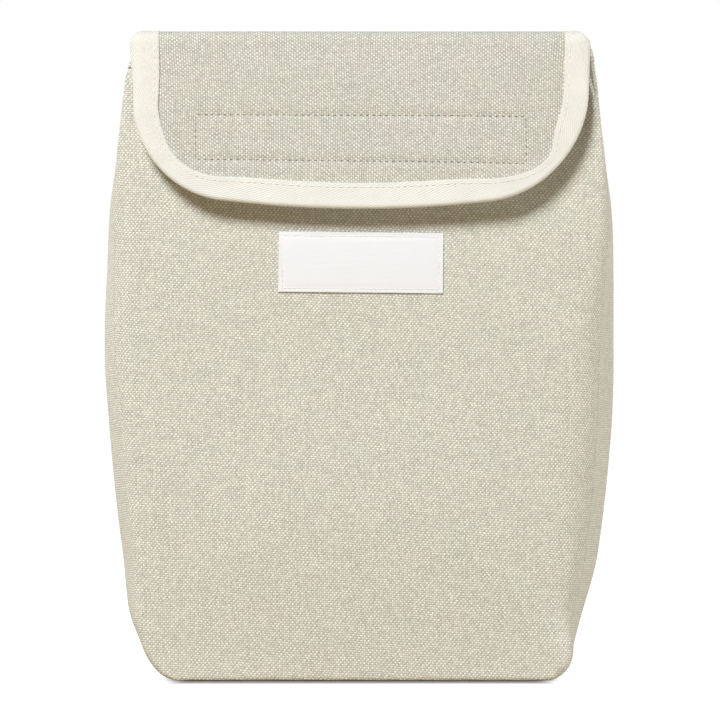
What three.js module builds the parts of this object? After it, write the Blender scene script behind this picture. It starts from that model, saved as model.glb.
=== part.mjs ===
// Insulated lunch bag, shut and standing empty. Every wall is a sandwich of flax canvas, foam and lining
// film. The flap is a sandwich with a taped edge: a crown over the mouth and a leaf down the front, shut
// with hook-and-loop strips. Millimetres, +Z up, front towards -Y, origin on the floor under the middle.
import * as THREE from "three";

// Outside of the bag, from crease to crease
const BASE_WIDTH = 176;
const BASE_DEPTH = 102;
const BELLY_WIDTH = 212;
const BELLY_DEPTH = 75;
const BELLY_HEIGHT = 170;
const MOUTH_WIDTH = 194;
const MOUTH_DEPTH = 52;
const RIM_HEIGHT = 257;
const CROWN_ABOVE_RIM = 13;

// How far the soft walls stand out between their creases, and how far the sides tuck in at the mouth
const FACE_SWELL = 4.5;
const FACE_SWELL_HEIGHT = 95;
const SIDE_SWELL = 6;
const SIDE_SWELL_HEIGHT = 50;
const SIDE_TUCK = 20;
const SIDE_BEND = 1.7; // 1 folds a side into a sharp V, 2 bows it evenly

// Rounding of the creases from the base up to the mouth, and of the edge along the floor
const BASE_CORNER = 20;
const BELLY_CORNER = 8;
const MOUTH_CORNER = 3.5;
const OUTSIDE_CORNER = 2.5; // added for each millimetre that a tape lies outside the canvas
const FLOOR_ROUND = 8;

// Thicknesses, and the gap left between two pieces that touch
const CANVAS = 0.8;
const FOAM = 3;
const FLAP_FOAM = 2.2;
const LINING = 0.5;
const TAPE = 0.7;
const STRIP = 1.2;
const LABEL = 0.4;
const SEAM_GAP = 0.3;

// Flap and tapes
const FLAP_WIDTH = 188;
const FLAP_CORNER = 40;
const FLAP_BOW = 4;
const FLAP_TAPE_WIDTH = 10;
const RIM_TAPE_WIDTH = 10;

// Closure strips and label
const CLOSURE_BELOW_RIM = 33;
const CLOSURE_LENGTH = 138;
const CLOSURE_WIDTH = 24;
const CLOSURE_TO_TAPE = 0.8; // from the hook strip's lower corners to the flap's tape
const LABEL_BELOW_CLOSURE = 52;
const LABEL_WIDTH = 68;
const LABEL_TALL = 25;

// Depths of the layers below the outer face of a wall and of the flap
const FOAM_OUT = CANVAS + SEAM_GAP;
const FOAM_IN = FOAM_OUT + FOAM;
const LINING_OUT = FOAM_IN + SEAM_GAP;
const WALL = LINING_OUT + LINING;
const FLAP_FOAM_IN = FOAM_OUT + FLAP_FOAM;
const FLAP_LINING_OUT = FLAP_FOAM_IN + SEAM_GAP;
const FLAP = FLAP_LINING_OUT + LINING;

// Heights of the floor layers, which the walls stand on
const WALL_BOTTOM = CANVAS + SEAM_GAP;
const LINING_BOTTOM = WALL_BOTTOM + FOAM + SEAM_GAP;

// Heights of the middles of the closure strips and the label
const CLOSURE_HEIGHT = RIM_HEIGHT - CLOSURE_BELOW_RIM;
const LABEL_HEIGHT = CLOSURE_HEIGHT - LABEL_BELOW_CLOSURE;

// How finely the curved pieces are divided
const FACE_STEPS = 4;
const SIDE_STEPS = 3;
const HEIGHT_STEPS = 6;
const CORNER_STEPS = 6;
const BOW_STEPS = 8;

const COLOURS = {
  canvas: { color: 0xd5d1c1, roughness: 0.95, metalness: 0 },
  tape: { color: 0xf4f1e4, roughness: 0.9, metalness: 0 },
  foam: { color: 0xeceae2, roughness: 0.95, metalness: 0 },
  lining: { color: 0xe9e9e6, roughness: 0.45, metalness: 0 },
  strip: { color: 0xe6e2d4, roughness: 1, metalness: 0 },
  label: { color: 0xf6f6f8, roughness: 0.6, metalness: 0 },
};

// A smooth curve through a few [height, value] pairs, level with the end values beyond them
function curve(...keys) {
  const last = keys.length - 1;
  const slopes = keys.map((key, i) => {
    const before = keys[Math.max(i - 1, 0)];
    const after = keys[Math.min(i + 1, last)];
    return (after[1] - before[1]) / (after[0] - before[0]);
  });
  return (height) => {
    const h = THREE.MathUtils.clamp(height, keys[0][0], keys[last][0]);
    const i = Math.max(keys.findIndex((key) => key[0] >= h), 1);
    const span = keys[i][0] - keys[i - 1][0];
    const t = (h - keys[i - 1][0]) / span;
    const rise = t * t * (3 - 2 * t);
    const leave = t * (1 - t) * (1 - t) * span * slopes[i - 1];
    const arrive = t * t * (t - 1) * span * slopes[i];
    return keys[i - 1][1] * (1 - rise) + keys[i][1] * rise + leave + arrive;
  };
}

const halfWidth = curve([0, BASE_WIDTH / 2], [BELLY_HEIGHT, BELLY_WIDTH / 2], [RIM_HEIGHT, MOUTH_WIDTH / 2]);
const halfDepth = curve([0, BASE_DEPTH / 2], [BELLY_HEIGHT, BELLY_DEPTH / 2], [RIM_HEIGHT, MOUTH_DEPTH / 2]);
const faceSwell = curve([0, 0], [FACE_SWELL_HEIGHT, FACE_SWELL], [RIM_HEIGHT, 0]);
const sideSwell = curve([0, 0], [SIDE_SWELL_HEIGHT, SIDE_SWELL], [BELLY_HEIGHT, 0], [RIM_HEIGHT, -SIDE_TUCK]);
const creaseRound = curve([0, BASE_CORNER], [BELLY_HEIGHT, BELLY_CORNER], [RIM_HEIGHT, MOUTH_CORNER]);

// How far the rounded edge along the floor draws the walls in at a height
function floorInset(height) {
  const below = Math.max(FLOOR_ROUND - height, 0);
  return FLOOR_ROUND - Math.sqrt(FLOOR_ROUND ** 2 - below ** 2);
}

// Distance of the front or back face from the middle plane, at x and a height
function faceReach(x, height) {
  return halfDepth(height) + faceSwell(height) * (1 - (x / halfWidth(height)) ** 2);
}

// Distance of the right side from the middle plane, at y, a height and a depth into the wall
function sideReach(y, height, depth) {
  const share = Math.abs(y) / halfDepth(height);
  const swell = sideSwell(height);
  const slope = (swell * SIDE_BEND * share ** (SIDE_BEND - 1)) / halfDepth(height);
  return halfWidth(height) + swell * (1 - share ** SIDE_BEND) - depth * Math.hypot(1, slope);
}

// The rounded crease between the front and the right side
function crease(height, depth) {
  const y = halfDepth(height) - depth;
  const x = sideReach(y, height, depth);
  const round = creaseRound(height) + OUTSIDE_CORNER * Math.max(-depth, 0);
  return new THREE.QuadraticBezierCurve(
    new THREE.Vector2(x - round, depth - faceReach(x - round, height)),
    new THREE.Vector2(x, depth - faceReach(x, height)),
    new THREE.Vector2(sideReach(y - round, height, depth), round - y),
  );
}

// Where the two walls that meet at a crease stop, as a share of half the crease
function seamShare(corner) {
  return SEAM_GAP / corner.v0.distanceTo(corner.v2) / 2;
}

// The front's outline at a height and a depth into the wall, from the left crease to the right one
function faceLine(height, depth) {
  const inset = depth + floorInset(height);
  const corner = crease(height, inset);
  const half = [];
  for (let i = 1; i <= FACE_STEPS; i += 1) {
    const x = (corner.v0.x * i) / FACE_STEPS;
    half.push(new THREE.Vector2(x, inset - faceReach(x, height)));
  }
  half.push(corner.getPoint(0.25), corner.getPoint(0.5 - seamShare(corner)));
  const middle = new THREE.Vector2(0, inset - faceReach(0, height));
  const left = half.map((p) => new THREE.Vector2(-p.x, p.y)).reverse();
  return [...left, middle, ...half];
}

// The right side's outline at a height and a depth into the wall, from the front crease to the back one
function sideLine(height, depth) {
  const inset = depth + floorInset(height);
  const corner = crease(height, inset);
  const half = [corner.getPoint(0.5 + seamShare(corner)), corner.getPoint(0.75)];
  for (let i = 0; i < SIDE_STEPS; i += 1) {
    const y = corner.v2.y * (1 - i / SIDE_STEPS);
    half.push(new THREE.Vector2(sideReach(y, height, inset), y));
  }
  const middle = new THREE.Vector2(sideReach(0, height, inset), 0);
  const back = half.map((p) => new THREE.Vector2(p.x, -p.y)).reverse();
  return [...half, middle, ...back];
}

// The four walls, each an outline that is one of the two above or its mirror image
const WALLS = {
  front: faceLine,
  back: (height, depth) => faceLine(height, depth).map((p) => new THREE.Vector2(p.x, -p.y)),
  left: (height, depth) => sideLine(height, depth).map((p) => new THREE.Vector2(-p.x, p.y)),
  right: sideLine,
};

// A closed sheet from rows of paired points on its two faces
function sheet(rows) {
  const columns = rows[0].outer.length;
  const end = rows.length - 1;
  const at = (row, column, face) => (row * 2 + face) * columns + column;
  const index = [];
  const quad = (a, b, c, d) => index.push(a, b, c, a, c, d);
  for (let row = 1; row <= end; row += 1) {
    for (let i = 1; i < columns; i += 1) {
      quad(at(row - 1, i - 1, 0), at(row - 1, i, 0), at(row, i, 0), at(row, i - 1, 0));
      quad(at(row - 1, i - 1, 1), at(row, i - 1, 1), at(row, i, 1), at(row - 1, i, 1));
    }
    quad(at(row - 1, 0, 0), at(row, 0, 0), at(row, 0, 1), at(row - 1, 0, 1));
    const side = columns - 1;
    quad(at(row - 1, side, 0), at(row - 1, side, 1), at(row, side, 1), at(row, side, 0));
  }
  for (let i = 1; i < columns; i += 1) {
    quad(at(0, i - 1, 0), at(0, i - 1, 1), at(0, i, 1), at(0, i, 0));
    quad(at(end, i - 1, 0), at(end, i, 0), at(end, i, 1), at(end, i - 1, 1));
  }
  const points = rows.flatMap((row) => [...row.outer, ...row.inner]);
  if (volumeOf(points, index) < 0) {
    index.reverse();
  }
  const geometry = new THREE.BufferGeometry().setFromPoints(points);
  geometry.setIndex(index);
  geometry.computeVertexNormals();
  return geometry;
}

// Six times the volume that triangles enclose, negative when they face inwards
function volumeOf(points, index) {
  let sum = 0;
  for (let i = 0; i < index.length; i += 3) {
    const [a, b, c] = [points[index[i]], points[index[i + 1]], points[index[i + 2]]];
    sum += a.dot(new THREE.Vector3().crossVectors(b, c));
  }
  return sum;
}

function piece(name, geometry, look) {
  const mesh = new THREE.Mesh(geometry, new THREE.MeshStandardMaterial(COLOURS[look]));
  mesh.name = name;
  return mesh;
}

// Walls

function lift(line, height) {
  return line.map((p) => new THREE.Vector3(p.x, p.y, height));
}

// The heights of a wall's rows, close together at the floor and even above it
function wallHeights(bottom, top) {
  const floor = [WALL_BOTTOM, (WALL_BOTTOM + LINING_BOTTOM) / 2, LINING_BOTTOM, FLOOR_ROUND];
  const shoulder = RIM_HEIGHT - RIM_TAPE_WIDTH;
  const heights = [...floor, RIM_HEIGHT, top];
  for (let i = 1; i <= HEIGHT_STEPS; i += 1) {
    heights.push(THREE.MathUtils.lerp(FLOOR_ROUND, shoulder, i / HEIGHT_STEPS));
  }
  const kept = heights.filter((h) => h >= bottom && h <= top);
  return [...new Set(kept)].sort((a, b) => a - b);
}

function wallLayer(line, outerDepth, innerDepth, bottom, top) {
  const rows = wallHeights(bottom, top).map((height) => ({
    outer: lift(line(height, outerDepth), height),
    inner: lift(line(height, innerDepth), height),
  }));
  return sheet(rows);
}

// One layer of the base, cut to the walls' outline at a height and a depth into the wall
function baseLayer(height, depth, bottom, thickness) {
  const ring = [
    ...WALLS.front(height, depth),
    ...WALLS.right(height, depth),
    ...WALLS.back(height, depth).reverse(),
    ...WALLS.left(height, depth).reverse(),
  ];
  const geometry = new THREE.ExtrudeGeometry(new THREE.Shape(ring), { depth: thickness, bevelEnabled: false });
  return geometry.translate(0, 0, bottom);
}

// Tape folded over the mouth's edge of one wall
function rimTape(line) {
  const low = RIM_HEIGHT - RIM_TAPE_WIDTH;
  const over = RIM_HEIGHT + SEAM_GAP;
  const near = -SEAM_GAP;
  const far = WALL + SEAM_GAP;
  const fold = [
    { outer: [near - TAPE, low], inner: [near, low] },
    { outer: [near - TAPE, over + TAPE], inner: [near, over] },
    { outer: [far + TAPE, over + TAPE], inner: [far, over] },
    { outer: [far + TAPE, low], inner: [far, low] },
  ];
  const along = ([depth, height]) => lift(line(height, depth), height);
  return sheet(fold.map(({ outer, inner }) => ({ outer: along(outer), inner: along(inner) })));
}

// A strip or label lying on the front, bent to its shape
function frontPatch(width, tall, height, thickness) {
  const row = (h, depth) => {
    const points = [];
    for (let i = 0; i <= FACE_STEPS; i += 1) {
      const x = width * (i / FACE_STEPS - 0.5);
      points.push(new THREE.Vector3(x, depth - faceReach(x, h), h));
    }
    return points;
  };
  const rows = [-0.5, 0, 0.5].map((share) => ({
    outer: row(height + tall * share, -SEAM_GAP - thickness),
    inner: row(height + tall * share, -SEAM_GAP),
  }));
  return sheet(rows);
}

// Flap: the crown lies level from the back wall to the fold, and the leaf hangs parallel to the front

const FLAP_TOP = RIM_HEIGHT + CROWN_ABOVE_RIM - TAPE - SEAM_GAP;
const BACK_TOP = FLAP_TOP - FLAP - SEAM_GAP;
const BACK_Y = faceReach(0, RIM_HEIGHT);
const CLOSURE_STACK = 2 * STRIP + 3 * SEAM_GAP;
const LEAN_STEP = 1;
const LEAN = Math.atan2(
  faceReach(0, CLOSURE_HEIGHT - LEAN_STEP) - faceReach(0, CLOSURE_HEIGHT + LEAN_STEP),
  2 * LEAN_STEP,
);
const LEAF_OFF = CLOSURE_STACK + FLAP;
const CLOSURE_DROP = (FLAP_TOP - CLOSURE_HEIGHT - LEAF_OFF * Math.sin(LEAN)) / Math.cos(LEAN);
const FOLD_Y = CLOSURE_DROP * Math.sin(LEAN) - LEAF_OFF * Math.cos(LEAN) - faceReach(0, CLOSURE_HEIGHT);
const CROWN_LENGTH = BACK_Y - FOLD_Y;
const LEAF_LENGTH = CLOSURE_DROP + CLOSURE_WIDTH / 2 + CLOSURE_TO_TAPE + tapeSetback(CLOSURE_LENGTH / 2);
const MITRE = Math.tan(Math.PI / 4 - LEAN / 2);

// How far above the flap's lowest point the inner edge of its tape is, at x
function tapeSetback(x) {
  const past = Math.max(x - FLAP_WIDTH / 2 + FLAP_CORNER, 0);
  return FLAP_BOW + FLAP_CORNER - Math.sqrt((FLAP_CORNER - FLAP_TAPE_WIDTH) ** 2 - past ** 2);
}

// Points of the crown and the leaf in their own frames: x across, s along from the fold, d into the flap
function crownPoint(x, s, d) {
  return new THREE.Vector3(x, s, -d);
}

function leafPoint(x, s, d) {
  return new THREE.Vector3(x, d, -s);
}

// How far from the fold the mitred end of the crown or leaf is, at a depth
function foldEnd(d) {
  return d * MITRE + SEAM_GAP / 2;
}

function crownLayer(outerDepth, innerDepth) {
  const half = FLAP_WIDTH / 2 - SEAM_GAP;
  const row = (s, d) => [crownPoint(-half, s, d), crownPoint(half, s, d)];
  return sheet([
    { outer: row(foldEnd(outerDepth), outerDepth), inner: row(foldEnd(innerDepth), innerDepth) },
    { outer: row(CROWN_LENGTH, outerDepth), inner: row(CROWN_LENGTH, innerDepth) },
  ]);
}

// The leaf's free edge, inset by q, from the left side round the bottom to the right side
function leafEdge(q) {
  const flat = FLAP_WIDTH / 2 - FLAP_CORNER;
  const centre = LEAF_LENGTH - FLAP_BOW - FLAP_CORNER;
  const corner = [];
  for (let i = 0; i < CORNER_STEPS; i += 1) {
    const turn = (i / CORNER_STEPS) * (Math.PI / 2);
    const reach = FLAP_CORNER - q;
    corner.push({ x: -flat - reach * Math.cos(turn), s: centre + reach * Math.sin(turn) });
  }
  const bow = [];
  for (let i = 0; i <= BOW_STEPS; i += 1) {
    const x = flat * ((2 * i) / BOW_STEPS - 1);
    bow.push({ x, s: LEAF_LENGTH - FLAP_BOW * (x / flat) ** 2 - q });
  }
  return [...corner, ...bow, ...corner.map(({ x, s }) => ({ x: -x, s })).reverse()];
}

function leafLayer(outerDepth, innerDepth) {
  const edge = leafEdge(SEAM_GAP);
  const top = (d) => edge.map(({ x }) => leafPoint(x, foldEnd(d), d));
  const bottom = (d) => edge.map(({ x, s }) => leafPoint(x, s, d));
  return sheet([
    { outer: top(outerDepth), inner: top(innerDepth) },
    { outer: bottom(outerDepth), inner: bottom(innerDepth) },
  ]);
}

// Tape folded round an edge of the flap: its section as [inset, depth] pairs
const FLAP_TAPE = [
  { outer: [FLAP_TAPE_WIDTH, -SEAM_GAP - TAPE], inner: [FLAP_TAPE_WIDTH, -SEAM_GAP] },
  { outer: [-TAPE, -SEAM_GAP - TAPE], inner: [0, -SEAM_GAP] },
  { outer: [-TAPE, FLAP + SEAM_GAP + TAPE], inner: [0, FLAP + SEAM_GAP] },
  { outer: [FLAP_TAPE_WIDTH, FLAP + SEAM_GAP + TAPE], inner: [FLAP_TAPE_WIDTH, FLAP + SEAM_GAP] },
];

function flapTape(along) {
  return sheet(FLAP_TAPE.map(({ outer, inner }) => ({ outer: along(...outer), inner: along(...inner) })));
}

// The crown's tape stops short of the back wall and its creases, which its inner half would run into
function crownTape(side) {
  const start = CROWN_LENGTH - WALL - MOUTH_CORNER;
  return flapTape((q, d) => {
    const x = side * (FLAP_WIDTH / 2 - q);
    return [crownPoint(x, foldEnd(d), d), crownPoint(x, start, d)];
  });
}

function leafTape() {
  return flapTape((q, d) => {
    const edge = leafEdge(q);
    const x = edge[0].x;
    return [
      leafPoint(x, foldEnd(d), d),
      ...edge.map((p) => leafPoint(p.x, p.s, d)),
      leafPoint(-x, foldEnd(d), d),
    ];
  });
}

function hookStrip() {
  const depth = FLAP + SEAM_GAP + STRIP / 2;
  const geometry = new THREE.BoxGeometry(CLOSURE_LENGTH, STRIP, CLOSURE_WIDTH);
  const centre = leafPoint(0, CLOSURE_DROP, depth);
  return geometry.translate(centre.x, centre.y, centre.z);
}

// Assembly

const bag = new THREE.Group();
bag.name = "insulated_lunch_bag";

const wallTops = { front: RIM_HEIGHT, back: BACK_TOP, left: RIM_HEIGHT, right: RIM_HEIGHT };
for (const [side, line] of Object.entries(WALLS)) {
  const top = wallTops[side];
  bag.add(
    piece(`${side}_panel`, wallLayer(line, 0, CANVAS, WALL_BOTTOM, top), "canvas"),
    piece(`${side}_foam`, wallLayer(line, FOAM_OUT, FOAM_IN, WALL_BOTTOM, top), "foam"),
    piece(`${side}_lining`, wallLayer(line, LINING_OUT, WALL, LINING_BOTTOM, top), "lining"),
  );
  if (side !== "back") {
    bag.add(piece(`${side}_rim_tape`, rimTape(line), "canvas"));
  }
}

bag.add(
  piece("base_panel", baseLayer(WALL_BOTTOM, 0, 0, CANVAS), "canvas"),
  piece("base_foam", baseLayer(WALL_BOTTOM, FOAM_IN + SEAM_GAP, WALL_BOTTOM, FOAM), "foam"),
  piece("base_lining", baseLayer(LINING_BOTTOM, WALL + SEAM_GAP, LINING_BOTTOM, LINING), "lining"),
  piece("label", frontPatch(LABEL_WIDTH, LABEL_TALL, LABEL_HEIGHT, LABEL), "label"),
  piece("loop_strip", frontPatch(CLOSURE_LENGTH, CLOSURE_WIDTH, CLOSURE_HEIGHT, STRIP), "strip"),
);

const crown = new THREE.Group();
crown.name = "flap_crown";
crown.position.set(0, FOLD_Y, FLAP_TOP);
crown.add(
  piece("crown_panel", crownLayer(0, CANVAS), "canvas"),
  piece("crown_foam", crownLayer(FOAM_OUT, FLAP_FOAM_IN), "foam"),
  piece("crown_lining", crownLayer(FLAP_LINING_OUT, FLAP), "lining"),
  piece("crown_tape_left", crownTape(-1), "tape"),
  piece("crown_tape_right", crownTape(1), "tape"),
);

const leaf = new THREE.Group();
leaf.name = "flap_leaf";
leaf.position.set(0, FOLD_Y, FLAP_TOP);
leaf.rotation.x = -LEAN;
leaf.add(
  piece("leaf_panel", leafLayer(0, CANVAS), "canvas"),
  piece("leaf_foam", leafLayer(FOAM_OUT, FLAP_FOAM_IN), "foam"),
  piece("leaf_lining", leafLayer(FLAP_LINING_OUT, FLAP), "lining"),
  piece("leaf_tape", leafTape(), "tape"),
  piece("hook_strip", hookStrip(), "strip"),
);

bag.add(crown, leaf);

export default bag;
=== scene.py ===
"""Looks of the insulated lunch bag: flax canvas walls with soft creases, a padded flap bound with twill
tape, a satin label and sewing thread. Metres, +Z up, front towards -Y, in the same frame as the solids
that they cover."""

import math
from functools import partial

import bmesh
import bpy
from bpy.props import FloatProperty, FloatVectorProperty, PointerProperty
from mathutils import Matrix, Vector, noise


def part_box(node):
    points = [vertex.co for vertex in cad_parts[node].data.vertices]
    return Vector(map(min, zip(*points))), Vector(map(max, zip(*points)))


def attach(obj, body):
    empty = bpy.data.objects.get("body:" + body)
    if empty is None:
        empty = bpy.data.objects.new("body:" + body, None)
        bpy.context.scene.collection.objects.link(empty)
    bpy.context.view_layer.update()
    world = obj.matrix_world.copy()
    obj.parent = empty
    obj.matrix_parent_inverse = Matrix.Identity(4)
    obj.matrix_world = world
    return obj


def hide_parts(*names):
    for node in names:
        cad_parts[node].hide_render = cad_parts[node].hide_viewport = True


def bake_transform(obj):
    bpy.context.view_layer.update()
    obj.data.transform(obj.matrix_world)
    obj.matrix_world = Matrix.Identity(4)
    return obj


bl_info = {
    "name": "Insulated lunch bag",
    "version": (1, 0, 0),
    "blender": (4, 5, 0),
    "location": "3D View > Sidebar > Lunch bag",
    "description": "Dresses the lunch bag's solids in canvas, tape, lining, label and stitching",
    "category": "Object",
}

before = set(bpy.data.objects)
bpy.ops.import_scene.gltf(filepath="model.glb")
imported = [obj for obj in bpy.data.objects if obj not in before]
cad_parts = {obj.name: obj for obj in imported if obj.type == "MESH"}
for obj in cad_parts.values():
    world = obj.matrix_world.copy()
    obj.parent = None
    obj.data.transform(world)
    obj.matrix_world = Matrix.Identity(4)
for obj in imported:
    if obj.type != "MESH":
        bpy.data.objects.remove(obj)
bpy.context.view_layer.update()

MM = 0.001
INSIDE = Vector((0, 0, 0.15))
SIDES = ("front", "back", "left", "right")
HANDS = {"left": -1, "right": 1}
TINY = 1e-6  # keeps the middle of a floor from a division by nothing

# Layers of the walls and the flap, from the outer face inwards
CANVAS = 0.8 * MM
WALL_PAD = 4.0 * MM
LINING_DEPTH = 4.4 * MM
LINING = 0.5 * MM
FLAP_PAD = 3.4 * MM
FLAP_LINING_DEPTH = 3.6 * MM
FLAP = 4.1 * MM
TAPE = 0.6 * MM

# Sewing: how far a thread's middle lies outside the cloth, and the share of its pitch that a stitch shows
THREAD_PROUD = 0.05 * MM
STITCH_SHARE = 0.72

SOFT_ANGLE = math.radians(50)  # edges that turn by more than this are rounded


# Properties


def linear(*steps):
    """A picture's 0 to 255 colour as the linear colour that shaders use."""
    shares = [step / 255 for step in steps]
    return [s / 12.92 if s <= 0.04045 else ((s + 0.055) / 1.055) ** 2.4 for s in shares] + [1.0]


def length(name, description, default):
    return FloatProperty(
        name=name, description=description, default=default, subtype="DISTANCE", unit="LENGTH"
    )


def colour(name, description, *steps):
    return FloatVectorProperty(
        name=name, description=description, default=linear(*steps), size=4, min=0, max=1, subtype="COLOR"
    )


class LunchBagSizes(bpy.types.PropertyGroup):
    """Sizes of the bag, crease to crease, and of its flap and trimmings."""

    base_width: length("Base width", "Width between the creases at the floor", 0.174)
    base_depth: length("Base depth", "Depth at the floor", 0.102)
    belly_width: length("Belly width", "Width between the creases where the sides swell most", 0.1996)
    belly_depth: length("Belly depth", "Depth where the bag is widest", 0.075)
    belly_height: length("Belly height", "Height of the greatest width", 0.170)
    shoulder_width: length("Shoulder width", "Width between the creases at the shoulder", 0.2035)
    shoulder_height: length("Shoulder height", "Height where the sides start to fold in", 0.215)
    mouth_width: length("Mouth width", "Width at the rim", 0.198)
    mouth_depth: length("Mouth depth", "Depth at the rim", 0.052)
    rim_height: length("Rim height", "Height of the front wall", 0.257)
    face_swell: length("Face swell", "How far the front and back stand out", 0.0045)
    side_swell: length("Side swell", "How far the sides stand out low down", 0.010)
    side_tuck: length("Side tuck", "How far the sides fold in at the rim", 0.020)
    base_corner: length("Base corner", "Rounding of the creases at the floor", 0.0035)
    low_corner_left: length("Low corner left", "Rounding of the left creases below the belly", 0.0032)
    low_corner_right: length("Low corner right", "Rounding of the right creases below the belly", 0.016)
    belly_corner: length("Belly corner", "Rounding of the creases at the belly", 0.009)
    mouth_corner: length("Mouth corner", "Rounding of the creases at the rim", 0.003)
    floor_round: length("Floor rounding", "Rounding of the edge along the floor", 0.002)
    flap_width: length("Flap width", "Width of the flap's cloth", 0.188)
    flap_corner_left: length("Flap corner left", "Radius of the flap's left corner", 0.0355)
    flap_corner_right: length("Flap corner right", "Radius of the flap's right corner", 0.041)
    flap_bow: length("Flap bow", "How far the flap's lower edge bows down", 0.010)
    fold_round: length("Fold rounding", "Radius of the flap's front fold", 0.0065)
    back_round: length("Back rounding", "Radius of the flap's bend over the back wall", 0.006)
    tape_width: length("Tape width", "Width of the tape on each face", 0.010)
    lap_length: length("Lap length", "How far the flap is lapped down the back wall", 0.020)
    closure_length: length("Closure length", "Length of the closure's stitched rectangle", 0.1365)
    closure_width: length("Closure width", "Width of the closure's stitched rectangle", 0.0195)


class LunchBagColours(bpy.types.PropertyGroup):
    """Colours of the cloths, tapes and threads."""

    flax_pale: colour("Flax, pale", "Paler and thicker threads of the canvas", 232, 234, 228)
    flax_dark: colour("Flax, dark", "Darker and finer threads of the canvas", 208, 209, 198)
    twill: colour("Twill tape", "Cotton tape round the flap", 235, 236, 231)
    satin: colour("Label satin", "Woven label", 235, 239, 246)
    film: colour("Lining film", "Wipe-clean lining", 233, 233, 230)
    pile: colour("Closure pile", "Hook-and-loop strips", 230, 226, 212)
    # painted shade: the canvas thread is drawn dark to stand in for the shade in the pits between its
    # stitches
    flax_thread: colour("Flax thread", "Thread on the canvas", 128, 118, 96)
    cream_thread: colour("Cream thread", "Thread on the twill tape", 240, 238, 229)
    white_thread: colour("White thread", "Thread round the label", 246, 246, 246)
    floor: colour("Floor", "Pale studio floor", 192, 172, 140)
    # painted shadow: the camera alone sees the floor in this darker grey, which deepens the contact shadow
    # where its glow fades; the colour above only tints the light it bounces
    floor_shade: colour("Floor in shade", "Floor as it shows beside the bag", 150, 150, 152)
    ambient: colour("Ambient", "Soft light from the room", 255, 232, 190)


# Form of the bag and the flap


def smooth(low, high, value):
    """0 below low and 1 above high, with a soft step between them."""
    t = min(max((value - low) / (high - low), 0), 1)
    return t * t * (3 - 2 * t)


def band(height, size, rise=None, fall=None):
    """A size that sets in over the heights of rise and fades out over those of fall."""
    if rise:
        size *= smooth(*rise, height)
    if fall:
        size *= 1 - smooth(*fall, height)
    return size


def rounded_in(whole, height):
    """How far an edge rounded along the floor lies in at a height."""
    below = max(whole - height, 0)
    return whole - math.sqrt(whole**2 - below**2)


def hand(x):
    """1 on the right and -1 on the left."""
    return 1 if x > 0 else -1


def curve(*keys):
    """A smooth curve through (height, value) pairs, level with the end values beyond them."""
    last = len(keys) - 1
    slopes = []
    for i in range(len(keys)):
        before = keys[max(i - 1, 0)]
        after = keys[min(i + 1, last)]
        slopes.append((after[1] - before[1]) / (after[0] - before[0]))

    def at(height):
        h = min(max(height, keys[0][0]), keys[last][0])
        i = 1
        while i < last and keys[i][0] < h:
            i += 1
        span = keys[i][0] - keys[i - 1][0]
        t = (h - keys[i - 1][0]) / span
        rise = t * t * (3 - 2 * t)
        leave = t * (1 - t) ** 2 * span * slopes[i - 1]
        arrive = t * t * (t - 1) * span * slopes[i]
        return keys[i - 1][1] * (1 - rise) + keys[i][1] * rise + leave + arrive

    return at


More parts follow.
